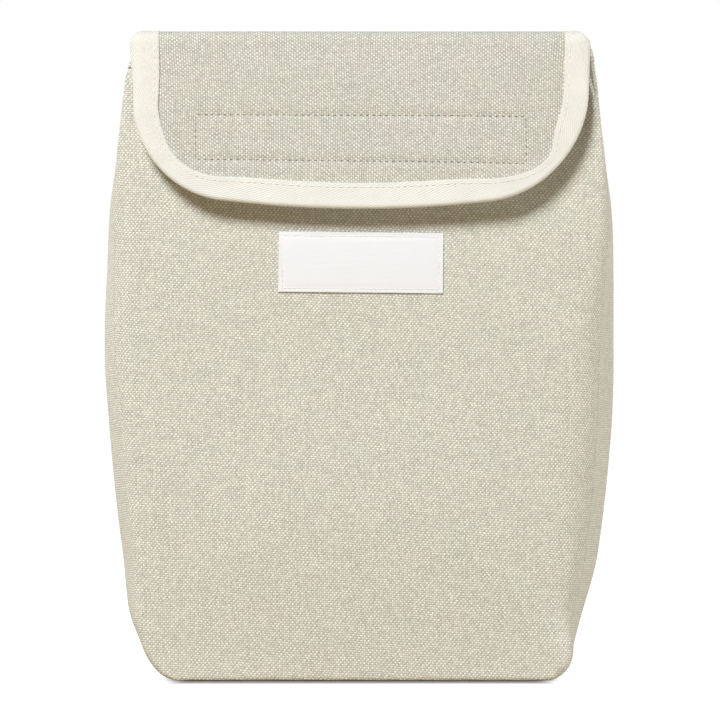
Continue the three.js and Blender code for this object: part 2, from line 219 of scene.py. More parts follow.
class BagForm:
    """The bag's walls: points at a place across a wall from seam to seam, a height and a depth into it."""

    FACE_SHARE = 0.78  # share of the front or back between its creases
    SIDE_BEND = 1.7  # 1 folds a side into a sharp V, 2 bows it evenly
    OUTSIDE_CORNER = 2.5  # rounding added for each metre that a tape lies outside the canvas
    SEAM_DIP = {-1: 0.25 * MM, 1: 0.04 * MM}  # how far the cloth rolls in at a seam, left and right
    SEAM_ROLL = 1.2 * MM  # how near the seam it rolls in
    SLACK = 0.7 * MM  # how far slack cloth stands in or out
    SLACK_WIDE = (11, 9)  # its dents to a metre, along a wall and up it
    SLACK_FINE = (27, 21)
    FINE_SHARE = 0.35
    SLACK_SEED = 7.3
    FINE_SEED = 3
    FACE_SWELL = ((0.06, 1.0), (0.135, 0.75), (0.195, 0.85))  # heights, and shares of the swell there
    SIDE_SWELL = ((0.04, 0.74), (0.1, 1.0))  # the same for the sides, below the belly
    BELLY_SWELL = 0.65
    LOW_CREASE = (0.04, 0.1)  # heights between which the low rounding of the creases holds

    # Uneven settling: how far, the heights where it sets in, and those where it fades out
    SWAY = (3.2 * MM, (0.005, 0.03), (0.12, 0.19))
    SWAY_BACK = (1.1 * MM, (0.02, 0.05), (0.10, 0.16))
    FULL_FOOT = (0.8 * MM, (0.004, 0.016), (0.02, 0.06))
    LEAN_FOOT = (0.5 * MM, None, (0.03, 0.05))
    FULL_SHOULDER = (0.5 * MM, (0.205, 0.23), (0.238, 0.256))
    PINCH_LEFT = (2.4 * MM, (0.250, 0.262))
    PINCH_RIGHT = (5.0 * MM, (0.232, 0.262))
    SPREAD_RIGHT = (3.2 * MM, (0.205, 0.236))
    SPREAD_LESS = ((1.0 * MM, (0.250, 0.260)), (2.0 * MM, (0.261, 0.268)))
    FOOT_ROUND = {-1: 13 * MM, 1: 11 * MM}  # rounding of the feet, left and right
    ENDS = (0.05, 0.085)  # distances from the middle where the settling of the ends sets in
    FRONT_FADE = (-0.02, 0.005)  # places from front to back where the settling of the front fades out

    def __init__(self, sizes):
        belly = sizes.belly_height
        shoulder = sizes.shoulder_height
        rim = sizes.rim_height
        self.sizes = sizes
        self.half_width = curve(
            (0, sizes.base_width / 2),
            (belly, sizes.belly_width / 2),
            (shoulder, sizes.shoulder_width / 2),
            (rim, sizes.mouth_width / 2),
        )
        self.inner_depth = curve(
            (0, sizes.base_depth / 2), (belly, sizes.belly_depth / 2), (rim, sizes.mouth_depth / 2)
        )
        self.rim_slope = (sizes.belly_depth - sizes.mouth_depth) / 2 / (rim - belly)
        face = [(height, share * sizes.face_swell) for height, share in self.FACE_SWELL]
        self.face_swell = curve((0, 0), *face, (rim, 0))
        side = [(height, share * sizes.side_swell) for height, share in self.SIDE_SWELL]
        side.append((belly, self.BELLY_SWELL * sizes.side_swell))
        self.side_swell = curve((0, 0), *side, (shoulder, 0), (rim, -sizes.side_tuck))
        high_round = ((belly, sizes.belly_corner), (rim, sizes.mouth_corner))
        self.crease_round = {}
        for turn, low in ((-1, sizes.low_corner_left), (1, sizes.low_corner_right)):
            low_round = [(height, low) for height in self.LOW_CREASE]
            self.crease_round[turn] = curve((0, sizes.base_corner), *low_round, *high_round)

    def half_depth(self, height):
        """Half the depth between the creases, which goes on narrowing above the rim."""
        return self.inner_depth(height) - self.rim_slope * max(height - self.sizes.rim_height, 0)

    def floor_inset(self, height):
        """How far the rounded edge along the floor draws the walls in."""
        return rounded_in(self.sizes.floor_round, height)

    def face_reach(self, x, height):
        """Distance of the front's or back's even shape from the middle plane."""
        return self.half_depth(height) + self.face_swell(height) * (1 - (x / self.half_width(height)) ** 2)

    def side_reach(self, y, height, depth):
        """Distance of a side's even shape from the middle plane, at a depth into it."""
        half = self.half_depth(height)
        share = abs(y) / half
        swell = self.side_swell(height)
        slope = swell * self.SIDE_BEND * share ** (self.SIDE_BEND - 1) / half
        return self.half_width(height) + swell * (1 - share**self.SIDE_BEND) - depth * math.hypot(1, slope)

    def crease(self, height, depth, turn):
        """Start, corner and end of a side's rounded front crease, as if that side were the right one."""
        y = self.half_depth(height) - depth
        x = self.side_reach(y, height, depth)
        rounding = self.crease_round[turn](height) + self.OUTSIDE_CORNER * max(-depth, 0)
        start = Vector((x - rounding, depth - self.face_reach(x - rounding, height)))
        corner = Vector((x, depth - self.face_reach(x, height)))
        end = Vector((self.side_reach(y - rounding, height, depth), rounding - y))
        return start, corner, end

    def slack(self, side, across, along, height):
        """Soft dents and swellings of a wall, fading out at its seams."""
        seed = SIDES.index(side) * self.SLACK_SEED
        wide = noise.noise(Vector((along * self.SLACK_WIDE[0], height * self.SLACK_WIDE[1], seed)))
        seed += self.FINE_SEED
        fine = noise.noise(Vector((along * self.SLACK_FINE[0], height * self.SLACK_FINE[1], seed)))
        return self.SLACK * (wide + self.FINE_SHARE * fine) * (1 - across**4)

    def seam_dip(self, turn, across, half_span):
        """How far the cloth rolls in at a place across a wall."""
        from_seam = (1 - abs(across)) * half_span
        return self.SEAM_DIP[turn] * math.exp(-((from_seam / self.SEAM_ROLL) ** 2))

    def settle(self, point):
        """Uneven settling: the front sways, the feet are rounder and the mouth's corners fold in."""
        z = point.z
        left = smooth(*self.ENDS, -point.x)
        right = smooth(*self.ENDS, point.x)
        front = 1 - smooth(*self.FRONT_FADE, point.y)
        sway = band(z, *self.SWAY) * front - band(z, *self.SWAY_BACK)
        inwards_left = self.rounder(z, -1) - band(z, *self.FULL_FOOT) - band(z, *self.FULL_SHOULDER)
        inwards_left += band(z, *self.PINCH_LEFT) * front - sway
        inwards_right = self.rounder(z, 1) + band(z, *self.LEAN_FOOT)
        inwards_right += band(z, *self.PINCH_RIGHT) * front + sway
        spread = band(z, *self.SPREAD_RIGHT) - sum(band(z, *less) for less in self.SPREAD_LESS)
        inwards_right -= spread * (1 - front)
        return point + Vector((left * inwards_left - right * inwards_right, 0, 0))

    def rounder(self, height, turn):
        """How much further in the rounding of a foot draws a side."""
        return rounded_in(self.FOOT_ROUND[turn], height) - self.floor_inset(height)

    def wall(self, side, across, height, depth=0.0, cloth=True):
        """A point of a wall in metres, and its place across the flat cloth."""
        if side in ("front", "back"):
            spot, flat = self.face_point(side, across, height, depth, cloth)
            spot = Vector((spot.x, spot.y if side == "front" else -spot.y, height))
            settled = self.settle(spot)
            return settled, flat + settled.x - spot.x
        spot, flat = self.side_point(side, across, height, depth, cloth)
        return self.settle(Vector((spot.x if side == "right" else -spot.x, spot.y, height))), flat

    def face_point(self, side, across, height, depth, cloth):
        """Place of a point of the front or back, as if it were the front, and its place on the cloth."""
        inset = depth + self.floor_inset(height)
        reach = self.half_width(height)
        turn = hand(across)
        if cloth:
            inset += self.seam_dip(turn, across, reach) - self.slack(side, across, across * reach, height)
        start, corner, end = self.crease(height, inset, turn)
        share = abs(across) / self.FACE_SHARE
        if share <= 1:
            x = start.x * share * turn
            return Vector((x, inset - self.face_reach(x, height))), x
        t = (abs(across) - self.FACE_SHARE) / (1 - self.FACE_SHARE)
        spot = start.lerp(corner, t).lerp(corner.lerp(end, t), t)
        flat = start.x + (spot - start).length
        return Vector((spot.x * turn, spot.y)), flat * turn

    def side_point(self, side, across, height, depth, cloth):
        """Place of a point of a side, as if it were the right one, and its place on the cloth."""
        inset = depth + self.floor_inset(height)
        reach = self.half_depth(height)
        turn = HANDS[side]
        if cloth:
            inset += self.seam_dip(turn, across, reach) - self.slack(side, across, across * reach, height)
        y = -self.crease(height, inset, turn)[2].y * across
        return Vector((self.side_reach(y, height, inset), y)), y

    def front_spot(self, x, height, depth):
        """A point over the front, at a depth into it."""
        across = x / self.crease(height, 0, hand(x))[0].x * self.FACE_SHARE
        slack = self.slack("front", across, across * self.half_width(height), height)
        return self.settle(Vector((x, depth - slack - self.face_reach(x, height), height)))

    def floor_spot(self, a, b, height, depth, cloth=True):
        """A point of a floor inside the walls from a place on a square, and how far out it lies."""
        out = max(abs(a), abs(b), TINY)
        if abs(b) >= abs(a):
            rim = self.wall("front" if b < 0 else "back", a / out, height, depth, cloth)[0]
        else:
            rim = self.wall("right" if a > 0 else "left", b / out, height, depth, cloth)[0]
        return rim * out, out


class BentPath:
    """A line in the y-z plane with straight runs and round bends, and its normal towards the inside."""

    def __init__(self, corners, rounds):
        headings = [math.atan2(b[1] - a[1], b[0] - a[0]) for a, b in zip(corners, corners[1:])]
        lengths = [math.dist(a, b) for a, b in zip(corners, corners[1:])]
        self.runs = []
        spot = Vector(corners[0])
        cut = 0.0
        for i, heading in enumerate(headings):
            last = i == len(headings) - 1
            turn = 0.0 if last else (headings[i + 1] - heading + math.pi) % (2 * math.pi) - math.pi
            next_cut = 0.0 if last else rounds[i] * math.tan(abs(turn) / 2)
            spot = self.add(spot, heading, 0.0, lengths[i] - cut - next_cut)
            if not last:
                spot = self.add(spot, heading, math.copysign(1 / rounds[i], turn), rounds[i] * abs(turn))
            cut = next_cut
        self.length = sum(run[3] for run in self.runs)

    def add(self, spot, heading, bend, run):
        self.runs.append((spot, heading, bend, run))
        return self.on_run(self.runs[-1], run)[0]

    @staticmethod
    def on_run(run, distance):
        spot, heading, bend, _ = run
        after = heading + bend * distance
        if bend == 0:
            step = Vector((math.cos(heading), math.sin(heading))) * distance
        else:
            step = Vector((math.sin(after) - math.sin(heading), math.cos(heading) - math.cos(after))) / bend
        return spot + step, Vector((-math.sin(after), math.cos(after)))

    def at(self, distance):
        """The point at a distance along the line, and the normal there."""
        for run in self.runs[:-1]:
            if distance <= run[3]:
                return self.on_run(run, distance)
            distance -= run[3]
        return self.on_run(self.runs[-1], distance)


class FlapForm:
    """The flap: points at x across it, a distance along its cloth from the front fold and a depth."""

    WIDER_AT_FOLD = {-1: 0.018, 1: 0.011}  # share by which the flap is wider at the fold, left and right
    WIDER_TO = 0.028  # how far along the leaf it is
    LEAF_SLACK = 0.6 * MM  # how much further down the leaf's cloth reaches than its solid
    BACK_GAP = 0.2 * MM  # how far the lap stands off the back wall
    PATH_RUN = 2  # lengths of the leaf that the path goes on for, so that it reaches past the edge
    SWELL = 0.9 * MM  # padding's swell in the middle of the leaf
    SWELL_INSET = (0.009, 0.024)  # distances from the edge where it sets in
    SWELL_TO = 0.02  # and how far along the leaf it grows
    DENT = 0.5 * MM  # uneven padding
    DENT_NOISE = (17, 21)  # its dents to a metre, across and along the flap
    DENT_SEED = 4.2
    TAPE_PRESS = (0.007, 0.016)  # distances from the edge where the tape's pressure fades out
    EDGE_PINCH = 0.5 * MM  # how far the tape presses the outer face down
    PINCH_TO = 0.012  # how far along the leaf that grows
    EDGE = 2.3 * MM  # thickness that the tape presses the flap's edge to
    STITCH_PINCH = 0.5 * MM  # how far a row of stitches presses the padding down
    STITCH_REACH = 1.3 * MM
    DROOP = {-1: 2.6 * MM, 1: 3.6 * MM}  # how far the crown's ends hang down, left and right
    DROOP_TO = 0.03  # how far along the leaf they still hang
    LEAF_CURL = 0.8 * MM  # how far the leaf's ends curl towards the front wall
    CURL_REACH = {-1: 5.0 * MM, 1: 5.5 * MM}
    FLARE = 2.5 * MM  # how far the leaf's lower edge stands off past the closure
    CLOSURE_DROP = 0.65 * MM  # how far the stitched rectangle's middle lies below the hook strip's
    CLOSURE_SLOPES = (0.0055, 0.0128)  # how far its upper and lower row run downhill to the right
    TAPE_WIDER = {-1: 0.16, 1: 0.0}  # share by which the tape is wider at the fold
    TAPE_WIDER_FADE = (0.005, 0.035)  # how far along the leaf that fades out
    TAPE_LOWER = 0.07  # share by which it is wider along the lower edge
    TAPE_LOWER_ARC = (85, 110)  # degrees on a corner's arc where that sets in
    TAPE_DRAWN = {-1: 0.23, 1: 0.52}  # share by which it is drawn in round a corner
    DRAWN_AT = {-1: 54, 1: 51}  # where on the corner's arc, in degrees
    DRAWN_BEFORE = {-1: 23, 1: 14}  # how far along the arc that reaches up the side
    DRAWN_AFTER = {-1: 28, 1: 27}  # and along the lower edge
    EDGE_STEPS = 240  # steps along the lower edge

    def __init__(self, sizes, bag):
        crown_low, crown_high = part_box("crown_panel")
        leaf_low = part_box("leaf_panel")[0]
        hook_low, hook_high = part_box("hook_strip")
        self.sizes = sizes
        self.top = crown_high.z
        self.half = sizes.flap_width / 2
        closure_height = (hook_low.z + hook_high.z) / 2
        reach = [bag.face_reach(0, closure_height + step) for step in (-MM, MM)]
        self.lean = math.atan2(reach[0] - reach[1], 2 * MM)
        self.leaf = (self.top - leaf_low.z) / math.cos(self.lean) + self.LEAF_SLACK
        self.closure = (self.top - closure_height) / math.cos(self.lean)
        fold = (crown_low.y, self.top)
        back_foot = bag.face_reach(0, sizes.rim_height) + CANVAS + self.BACK_GAP
        back_lean = math.atan(bag.rim_slope)
        back = (back_foot - (self.top - sizes.rim_height) * math.tan(back_lean), self.top)
        lap = sizes.lap_length
        foot = (back[0] + lap * math.sin(back_lean), self.top - lap * math.cos(back_lean))
        down = self.PATH_RUN * self.leaf
        tip = (fold[0] - down * math.sin(self.lean), self.top - down * math.cos(self.lean))
        self.path = BentPath([foot, back, fold, tip], [sizes.back_round, sizes.fold_round])
        lap_run, back_bend, crown_run, fold_bend, _ = [run[3] for run in self.path.runs]
        self.to_fold = lap_run + back_bend + crown_run + fold_bend / 2
        self.fold_lead = sizes.fold_round * math.tan((math.pi / 2 - self.lean) / 2) - fold_bend / 2
        self.lap_end = -self.to_fold
        self.back_end = lap_run + back_bend - self.to_fold
        self.split = -(fold_bend / 2 + crown_run / 2)

    def corner(self, x):
        """Radius of the corner on a side."""
        return self.sizes.flap_corner_left if x < 0 else self.sizes.flap_corner_right

    def edge(self, x):
        """Distance along the cloth from the fold to the leaf's free edge."""
        corner = self.corner(x)
        past = max(abs(x) - self.half + corner, 0)
        drop = corner - math.sqrt(max(corner**2 - past**2, 0))
        return self.leaf - self.fold_lead - self.sizes.flap_bow * (x / self.half) ** 2 - drop

    def widen(self, x, along):
        """How many times wider than its flat cloth the flap lies."""
        return 1 + self.WIDER_AT_FOLD[hand(x)] * (1 - smooth(0, self.WIDER_TO, along))

    def tape_lip(self, x, along):
        """Width of the tape on the outer face, beside a place on the flap's edge."""
        side = hand(x)
        past_x = abs(x) - self.half + self.corner(x)
        past_along = along - self.edge(side * self.half)
        arc = math.degrees(math.atan2(past_along, past_x))
        turn = arc - self.DRAWN_AT[side]
        reach = self.DRAWN_BEFORE[side] if turn < 0 else self.DRAWN_AFTER[side]
        drawn = self.TAPE_DRAWN[side] * math.exp(-((turn / reach) ** 2))
        wider = self.TAPE_WIDER[side] * (1 - smooth(*self.TAPE_WIDER_FADE, along))
        wider += self.TAPE_LOWER * smooth(*self.TAPE_LOWER_ARC, arc)
        return self.sizes.tape_width * (1 + wider - drawn)

    def from_edge(self, x, along):
        """Distance of a place on the flat cloth from the flap's taped edge."""
        corner = self.corner(x)
        past_x = abs(x) - self.half + corner
        bow = self.sizes.flap_bow * (1 - (x / self.half) ** 2)
        past_along = along - self.edge(math.copysign(self.half, x)) - bow
        if past_x > 0 and past_along > 0:
            return corner - math.hypot(past_x, past_along)
        return min(self.half - abs(x), self.edge(x) - along)

    def closure_slope(self, w):
        """How far downhill the stitched rectangle runs at a place across it."""
        upper, lower = self.CLOSURE_SLOPES
        return upper + (lower - upper) * (0.5 + w / self.sizes.closure_width)

    def closure_spot(self, u, w):
        """A place on the flat cloth, from one on the closure's stitched rectangle, which is sewn askew."""
        return u, w + u * self.closure_slope(w) + self.closure + self.CLOSURE_DROP - self.fold_lead

    def from_closure(self, x, along):
        """Distance of a place on the flat cloth from the stitched rectangle, less than 0 inside it."""
        w = along - self.closure - self.CLOSURE_DROP + self.fold_lead
        w -= x * self.closure_slope(w)
        return max(abs(x) - self.sizes.closure_length / 2, abs(w) - self.sizes.closure_width / 2)

    def taped(self, x, along):
        """1 under the tape and 0 well inside it."""
        return 1 - smooth(*self.TAPE_PRESS, self.from_edge(x, along))

    def pressed(self, x, along):
        """How far the tape presses what lies behind the flap towards its outer face."""
        return (FLAP - self.EDGE) * self.taped(x, along)

    def relief(self, x, along):
        """How far the outer face stands in from its even shape."""
        dip = self.EDGE_PINCH * self.taped(x, along) * smooth(0, self.PINCH_TO, along)
        row = self.from_closure(x, along) / self.STITCH_REACH
        dip += self.STITCH_PINCH * math.exp(-(row**2))
        swell = self.SWELL * (1 - (x / self.half) ** 2)
        across, down = self.DENT_NOISE
        swell += self.DENT * noise.noise(Vector((x * across, along * down, self.DENT_SEED)))
        swell *= smooth(*self.SWELL_INSET, self.from_edge(x, along))
        return dip - swell * smooth(0, self.SWELL_TO, along)

    def droop(self, x, along):
        """How far the flap's ends hang, most at the fold and hardly on the leaf."""
        side = hand(x)
        ease = smooth(0, self.DROOP_TO, along)
        most = self.DROOP[side] * (1 - ease) + self.LEAF_CURL * ease
        reach = self.CURL_REACH[side]
        past = max(min(abs(x), self.half) - self.half + reach, 0) / reach
        return most * past**2 * smooth(self.back_end, self.split, along)

    def flare(self, along):
        """How far the leaf stands off below the closure."""
        start = self.closure - self.fold_lead
        return self.FLARE * max((along - start) / (self.leaf - self.fold_lead - start), 0) ** 2

    def point(self, x, along, depth):
        """A point at a depth into the flap's even shape."""
        spot, inwards = self.path.at(along + self.to_fold)
        depth += self.droop(x, along) - self.flare(along)
        return Vector((x * self.widen(x, along), *(spot + inwards * depth)))

    def outer(self, x, along, depth=0.0):
        """A point of the flap's outer face, or at a depth into it."""
        return self.point(x, along, depth + self.relief(x, along))

    def edge_line(self, steps):
        """Evenly spaced places along the flat cloth's taped edge, from the crown's left end to its right."""
        line = [Vector((-self.half, self.split)), Vector((-self.half, self.edge(-self.half)))]
        for i in range(1, self.EDGE_STEPS):
            x = -self.half * math.cos(math.pi * i / self.EDGE_STEPS)
            line.append(Vector((x, self.edge(x))))
        line += [Vector((self.half, self.edge(self.half))), Vector((self.half, self.split))]
        return even(line, steps)


def even(line, steps):
    """A line's points at even distances along it."""
    lengths = [(b - a).length for a, b in zip(line, line[1:])]
    gap = sum(lengths) / steps
    points = [line[0]]
    i = 0
    gone = 0.0
    for k in range(1, steps):
        while gone + lengths[i] < k * gap:
            gone += lengths[i]
            i += 1
        points.append(line[i].lerp(line[i + 1], (k * gap - gone) / lengths[i]))
    return points + [line[-1]]


# Meshes


def shaped_grid(columns, rows, place, inside=INSIDE):
    """A grid over -1 to 1, moved point by point and facing away from a point inside it.

    place gives each point and its place on the flat cloth.
    """
    bm = bmesh.new()
    bmesh.ops.create_grid(bm, x_segments=columns, y_segments=rows, size=1)
    cloth = bm.loops.layers.uv.new("cloth")
    flat = {}
    for vert in bm.verts:
        vert.co, flat[vert] = place(vert.co.x, vert.co.y)
    for face in bm.faces:
        for loop in face.loops:
            loop[cloth].uv = flat[loop.vert]
    bm.normal_update()
    away = sum(face.normal.dot(face.calc_center_median() - inside) * face.calc_area() for face in bm.faces)
    if away < 0:
        bmesh.ops.reverse_faces(bm, faces=bm.faces[:])
    return bm


def make_piece(name, bm, material, thickness=0.0):
    """A piece with a material and, for a sheet, a thickness to its inside."""
    mesh = bpy.data.meshes.new(name)
    bm.to_mesh(mesh)
    bm.free()
    mesh.shade_smooth()
    mesh.materials.append(material)
    piece = bpy.data.objects.new(name, mesh)
    bpy.context.collection.objects.link(piece)
    if thickness:
        solid = piece.modifiers.new("Thickness", "SOLIDIFY")
        solid.thickness = thickness
        solid.offset = -1
    return piece


def thin_out(piece, share):
    """Scales a piece's thickness by a share from each place on its flat cloth."""
    group = piece.vertex_groups.new(name="padding")
    flat = piece.data.uv_layers["cloth"].data
    for loop in piece.data.loops:
        u, v = flat[loop.index].uv
        group.add([loop.vertex_index], share(u, -v), "REPLACE")
    piece.modifiers["Thickness"].vertex_group = group.name


def soften(piece, width):
    """Rounds the edges of a piece that has a thickness."""
    bevel = piece.modifiers.new("Soft edges", "BEVEL")
    bevel.width = width
    bevel.segments = 2
    bevel.limit_method = "ANGLE"
    bevel.angle_limit = SOFT_ANGLE


def bead(bm, start, end, side, width, segments, rings):
    """A short plump thread from start to end, with a direction across it."""
    along = (end - start) / 2
    across = side.normalized() * width / 2
    up = along.cross(side).normalized() * width / 2
    turn = Matrix((across, up, along)).transposed().to_4x4()
    place = Matrix.Translation((start + end) / 2) @ turn
    bmesh.ops.create_uvsphere(bm, u_segments=segments, v_segments=rings, radius=1, matrix=place)


def thread_row(place, run, pitch, share=STITCH_SHARE):
    """Start, end and outward direction of each stitch; place gives a point and its outward direction."""
    count = max(round(run / pitch), 1)
    step = run / count
    for k in range(count):
        start, out = place((k + 0.5 - share / 2) * step)
        end, _ = place((k + 0.5 + share / 2) * step)
        yield start, end, out


def box_rows(wide, tall, place, pitch, share=STITCH_SHARE):
    """Rows of stitches round a rectangle; place turns a place on it into a point and its direction."""
    across = wide / 2
    up = tall / 2
    corners = [Vector(spot) for spot in ((-across, -up), (across, -up), (across, up), (-across, up))]
    for start, end in zip(corners, corners[1:] + corners[:1]):
        run = (end - start).length

        def on_side(distance, start=start, end=end, run=run):
            return place(*start.lerp(end, distance / run))

        yield thread_row(on_side, run, pitch, share)


def sew(name, rows, thread, width):
    """One piece with all the stitches of some rows."""
    bm = bmesh.new()
    for row in rows:
        for start, end, out in row:
            bead(bm, start, end, out.cross(end - start), width, segments=7, rings=5)
    return make_piece(name, bm, thread)


# Materials


def made_once(build):
    """Gives the material that an earlier step has made under its name, or else builds it."""

    def give(name, *details):
        return bpy.data.materials.get(name) or build(name, *details)

    return give


class Finish:
    """Builds one material's nodes; each step returns a socket for the next one."""

    def __init__(self, name, roughness, sheen=0.0, gloss=0.3):
        self.material = bpy.data.materials.new(name)
        self.material.use_nodes = True
        self.nodes = self.material.node_tree.nodes
        self.links = self.material.node_tree.links
        self.surface = self.nodes["Principled BSDF"]
        self.surface.inputs["Roughness"].default_value = roughness
        self.surface.inputs["Specular IOR Level"].default_value = gloss
        self.surface.inputs["Sheen Weight"].default_value = sheen
        self.surface.inputs["Sheen Roughness"].default_value = 0.5

    def put(self, socket, value):
        if isinstance(value, bpy.types.NodeSocket):
            self.links.new(value, socket)
        else:
            socket.default_value = value

    def math(self, operation, *values):
        node = self.nodes.new("ShaderNodeMath")
        node.operation = operation
        for socket, value in zip(node.inputs, values):
            self.put(socket, value)
        return node.outputs[0]

    def times(self, first, *others):
        for other in others:
            first = self.math("MULTIPLY", first, other)
        return first

    def wave(self, value, turns=1.0):
        """A cosine that goes round so many turns for each 1 of a value."""
        return self.math("COSINE", self.times(value, turns * 2 * math.pi))

    def cloth(self):
        """Place on the flat cloth, in metres."""
        node = self.nodes.new("ShaderNodeUVMap")
        node.uv_map = "cloth"
        return node.outputs[0]

    def position(self):
        return self.nodes.new("ShaderNodeTexCoord").outputs["Object"]

    def split(self, vector):
        node = self.nodes.new("ShaderNodeSeparateXYZ")
        self.links.new(vector, node.inputs[0])
        return node.outputs[0], node.outputs[1]

    def join(self, x, y, z=0.0):
        node = self.nodes.new("ShaderNodeCombineXYZ")
        for socket, value in zip(node.inputs, (x, y, z)):
            self.put(socket, value)
        return node.outputs[0]

    def noise(self, vector, scale, detail=2.0):
        node = self.nodes.new("ShaderNodeTexNoise")
        self.links.new(vector, node.inputs["Vector"])
        node.inputs["Scale"].default_value = scale
        node.inputs["Detail"].default_value = detail
        return node.outputs["Fac"]

    def streaks(self, x, x_scale, y, y_scale, seed=0.0):
        """A noise with a scale of its own along each of two directions."""
        return self.noise(self.join(self.times(x, x_scale), self.times(y, y_scale), seed), 1)

    def speckle(self, vector):
        node = self.nodes.new("ShaderNodeTexWhiteNoise")
        self.links.new(vector, node.inputs["Vector"])
        return node.outputs["Value"]

    def fit(self, value, low, high, to_low, to_high):
        node = self.nodes.new("ShaderNodeMapRange")
        for socket, entry in zip(node.inputs, (value, low, high, to_low, to_high)):
            self.put(socket, entry)
        return node.outputs[0]

    def drift(self, noise, low, high, spread=0.2):
        """A noise, which keeps near a half, stretched between two values."""
        return self.fit(noise, 0.5 - spread, 0.5 + spread, low, high)

    def mix(self, share, first, second, blend="MIX"):
        node = self.nodes.new("ShaderNodeMix")
        node.data_type = "RGBA"
        node.blend_type = blend
        for socket, value in zip((node.inputs[0], node.inputs[6], node.inputs[7]), (share, first, second)):
            self.put(socket, value)
        return node.outputs[2]

    def grey(self, value):
        return self.join(value, value, value)

    def bump(self, height, strength, distance):
        node = self.nodes.new("ShaderNodeBump")
        node.inputs["Strength"].default_value = strength
        node.inputs["Distance"].default_value = distance
        self.links.new(height, node.inputs["Height"])
        self.links.new(node.outputs[0], self.surface.inputs["Normal"])

    def colour(self, value):
        self.put(self.surface.inputs["Base Color"], value)

    def shaded(self, tint, shade):
        """Gives the surface a tint, made darker or paler by a shade."""
        self.colour(self.mix(1.0, tint, self.grey(shade), "MULTIPLY"))


@made_once
def flax_canvas(name, colours, painted_shade=1.0, level=True):
    """Coarse plain weave with slubs and uneven threads, whose paler threads run level or else upright."""
    pale_pitch = 0.94 * MM
    dark_pitch = 0.82 * MM
    downhill = 0.06
    wander = 0.45  # how many pitches the threads wander
    own_wander = 0.24  # and how far each stretch of a thread by itself
    roundness = 0.375  # turns of the wave across a thread
    line_share, diagonal_light_share = (0.05, 0.045) if level else (0.085, 0.03)
    finish = Finish(name, roughness=0.95, sheen=0.12)
    cloth = finish.cloth()
    u, v = finish.split(cloth)
    if level:
        u, v = finish.math("MULTIPLY_ADD", u, downhill, v), finish.times(u, -1.0)
    wobble = finish.drift(finish.noise(cloth, 55, 3), -wander, wander)
    wobble_across = finish.drift(finish.noise(finish.join(v, u), 48, 3), -wander, wander)
    pale_at = finish.math("MULTIPLY_ADD", u, 1 / pale_pitch, wobble)
    pale = finish.math("ROUND", pale_at)
    own_pull = finish.drift(finish.streaks(pale, 7.3, v, 150, 4.0), -own_wander, own_wander, 0.25)
    pull = finish.math("ADD", wobble_across, own_pull)
    dark_at = finish.math("MULTIPLY_ADD", v, 1 / dark_pitch, pull)
    dark = finish.math("ROUND", dark_at)

    def thread(across, own, along, sign):
        rounded = finish.wave(finish.math("SUBTRACT", across, own), roundness)
        over_and_under = finish.wave(finish.math("ADD", along, own), 0.5)
        return finish.math("MULTIPLY_ADD", over_and_under, 0.5 * sign, rounded)

    pale_height = thread(pale_at, pale, dark_at, 1)
    dark_height = thread(dark_at, dark, pale_at, -1)
    height = finish.math("MAXIMUM", pale_height, dark_height)
    on_top = finish.math("GREATER_THAN", pale_height, dark_height)
    pale_slub = finish.streaks(pale, 3.7, v, 70, 1.0)
    dark_slub = finish.streaks(u, 70, dark, 3.7, 8.0)
    slub = finish.split(finish.mix(on_top, finish.grey(dark_slub), finish.grey(pale_slub)))[0]
    threads = finish.mix(on_top, colours.flax_dark, colours.flax_pale)
    # each crossing's own uneven tone, times painted_shade, which paints a whole copy of the canvas darker as
    # shade
    uneven = finish.fit(finish.speckle(finish.join(pale, dark)), 0, 1, 0.86 * painted_shade, 1.1 * painted_shade)
    spun = finish.drift(slub, 0.9, 1.07, 0.25)
    # painted shade: darker in the gaps between the threads, where shade falls
    gaps = finish.fit(height, 0.7, 1.45, 0.77, 1.03)
    # painted light: one diagonal of the crossings is drawn paler and the other darker, as the light falls
    # from the upper left
    diagonal = finish.wave(finish.math("ADD", pale_at, dark_at), 0.5)
    ridge_shade = finish.fit(diagonal, -1, 1, 1 - diagonal_light_share, 1 + diagonal_light_share)
    # painted shade: paler along the middle of each pale thread and darker between them
    lines = finish.fit(finish.wave(pale_at), -1, 1, 1 - line_share, 1 + line_share)
    tint = finish.drift(finish.noise(cloth, 60, 3), 0.0, 1.0, 0.15)
    warmth = finish.mix(tint, [0.98, 1.0, 0.98, 1.0], [1.02, 0.99, 0.985, 1.0])
    # the shade mixes this painted shade and light with the slubs' and crossings' own tone
    shade = finish.times(gaps, ridge_shade, lines, spun, uneven)
    finish.shaded(finish.mix(1.0, threads, warmth, "MULTIPLY"), shade)
    plump = finish.math("MULTIPLY_ADD", slub, 0.5, height)
    finish.bump(plump, 0.55, 0.3 * MM)
    return finish.material


@made_once
def twill_tape(name, colours):
    """Cream cotton tape with slanting twill lines; its cloth runs along u."""
    line_pitch = 1.05 * MM
    thread_pitch = 0.45 * MM
    slope = 0.45
    finish = Finish(name, roughness=0.9, sheen=0.1)
    cloth = finish.cloth()
    u, v = finish.split(cloth)
    slant = finish.math("MULTIPLY_ADD", u, slope, v)
    wobble = finish.drift(finish.noise(cloth, 160), -0.15, 0.15)
    ridge = finish.wave(finish.math("MULTIPLY_ADD", slant, 1 / line_pitch, wobble))
    height = finish.math("MULTIPLY_ADD", finish.wave(v, 1 / thread_pitch), 0.25, ridge)
    soil = finish.drift(finish.noise(cloth, 90, 3), 0.96, 1.02)
    # painted shade: darker in the valleys between the twill lines
    lines = finish.fit(ridge, -1, 1, 0.93, 1.01)
    finish.shaded(colours.twill, finish.times(soil, lines))
    finish.bump(height, 0.45, 0.18 * MM)
    return finish.material


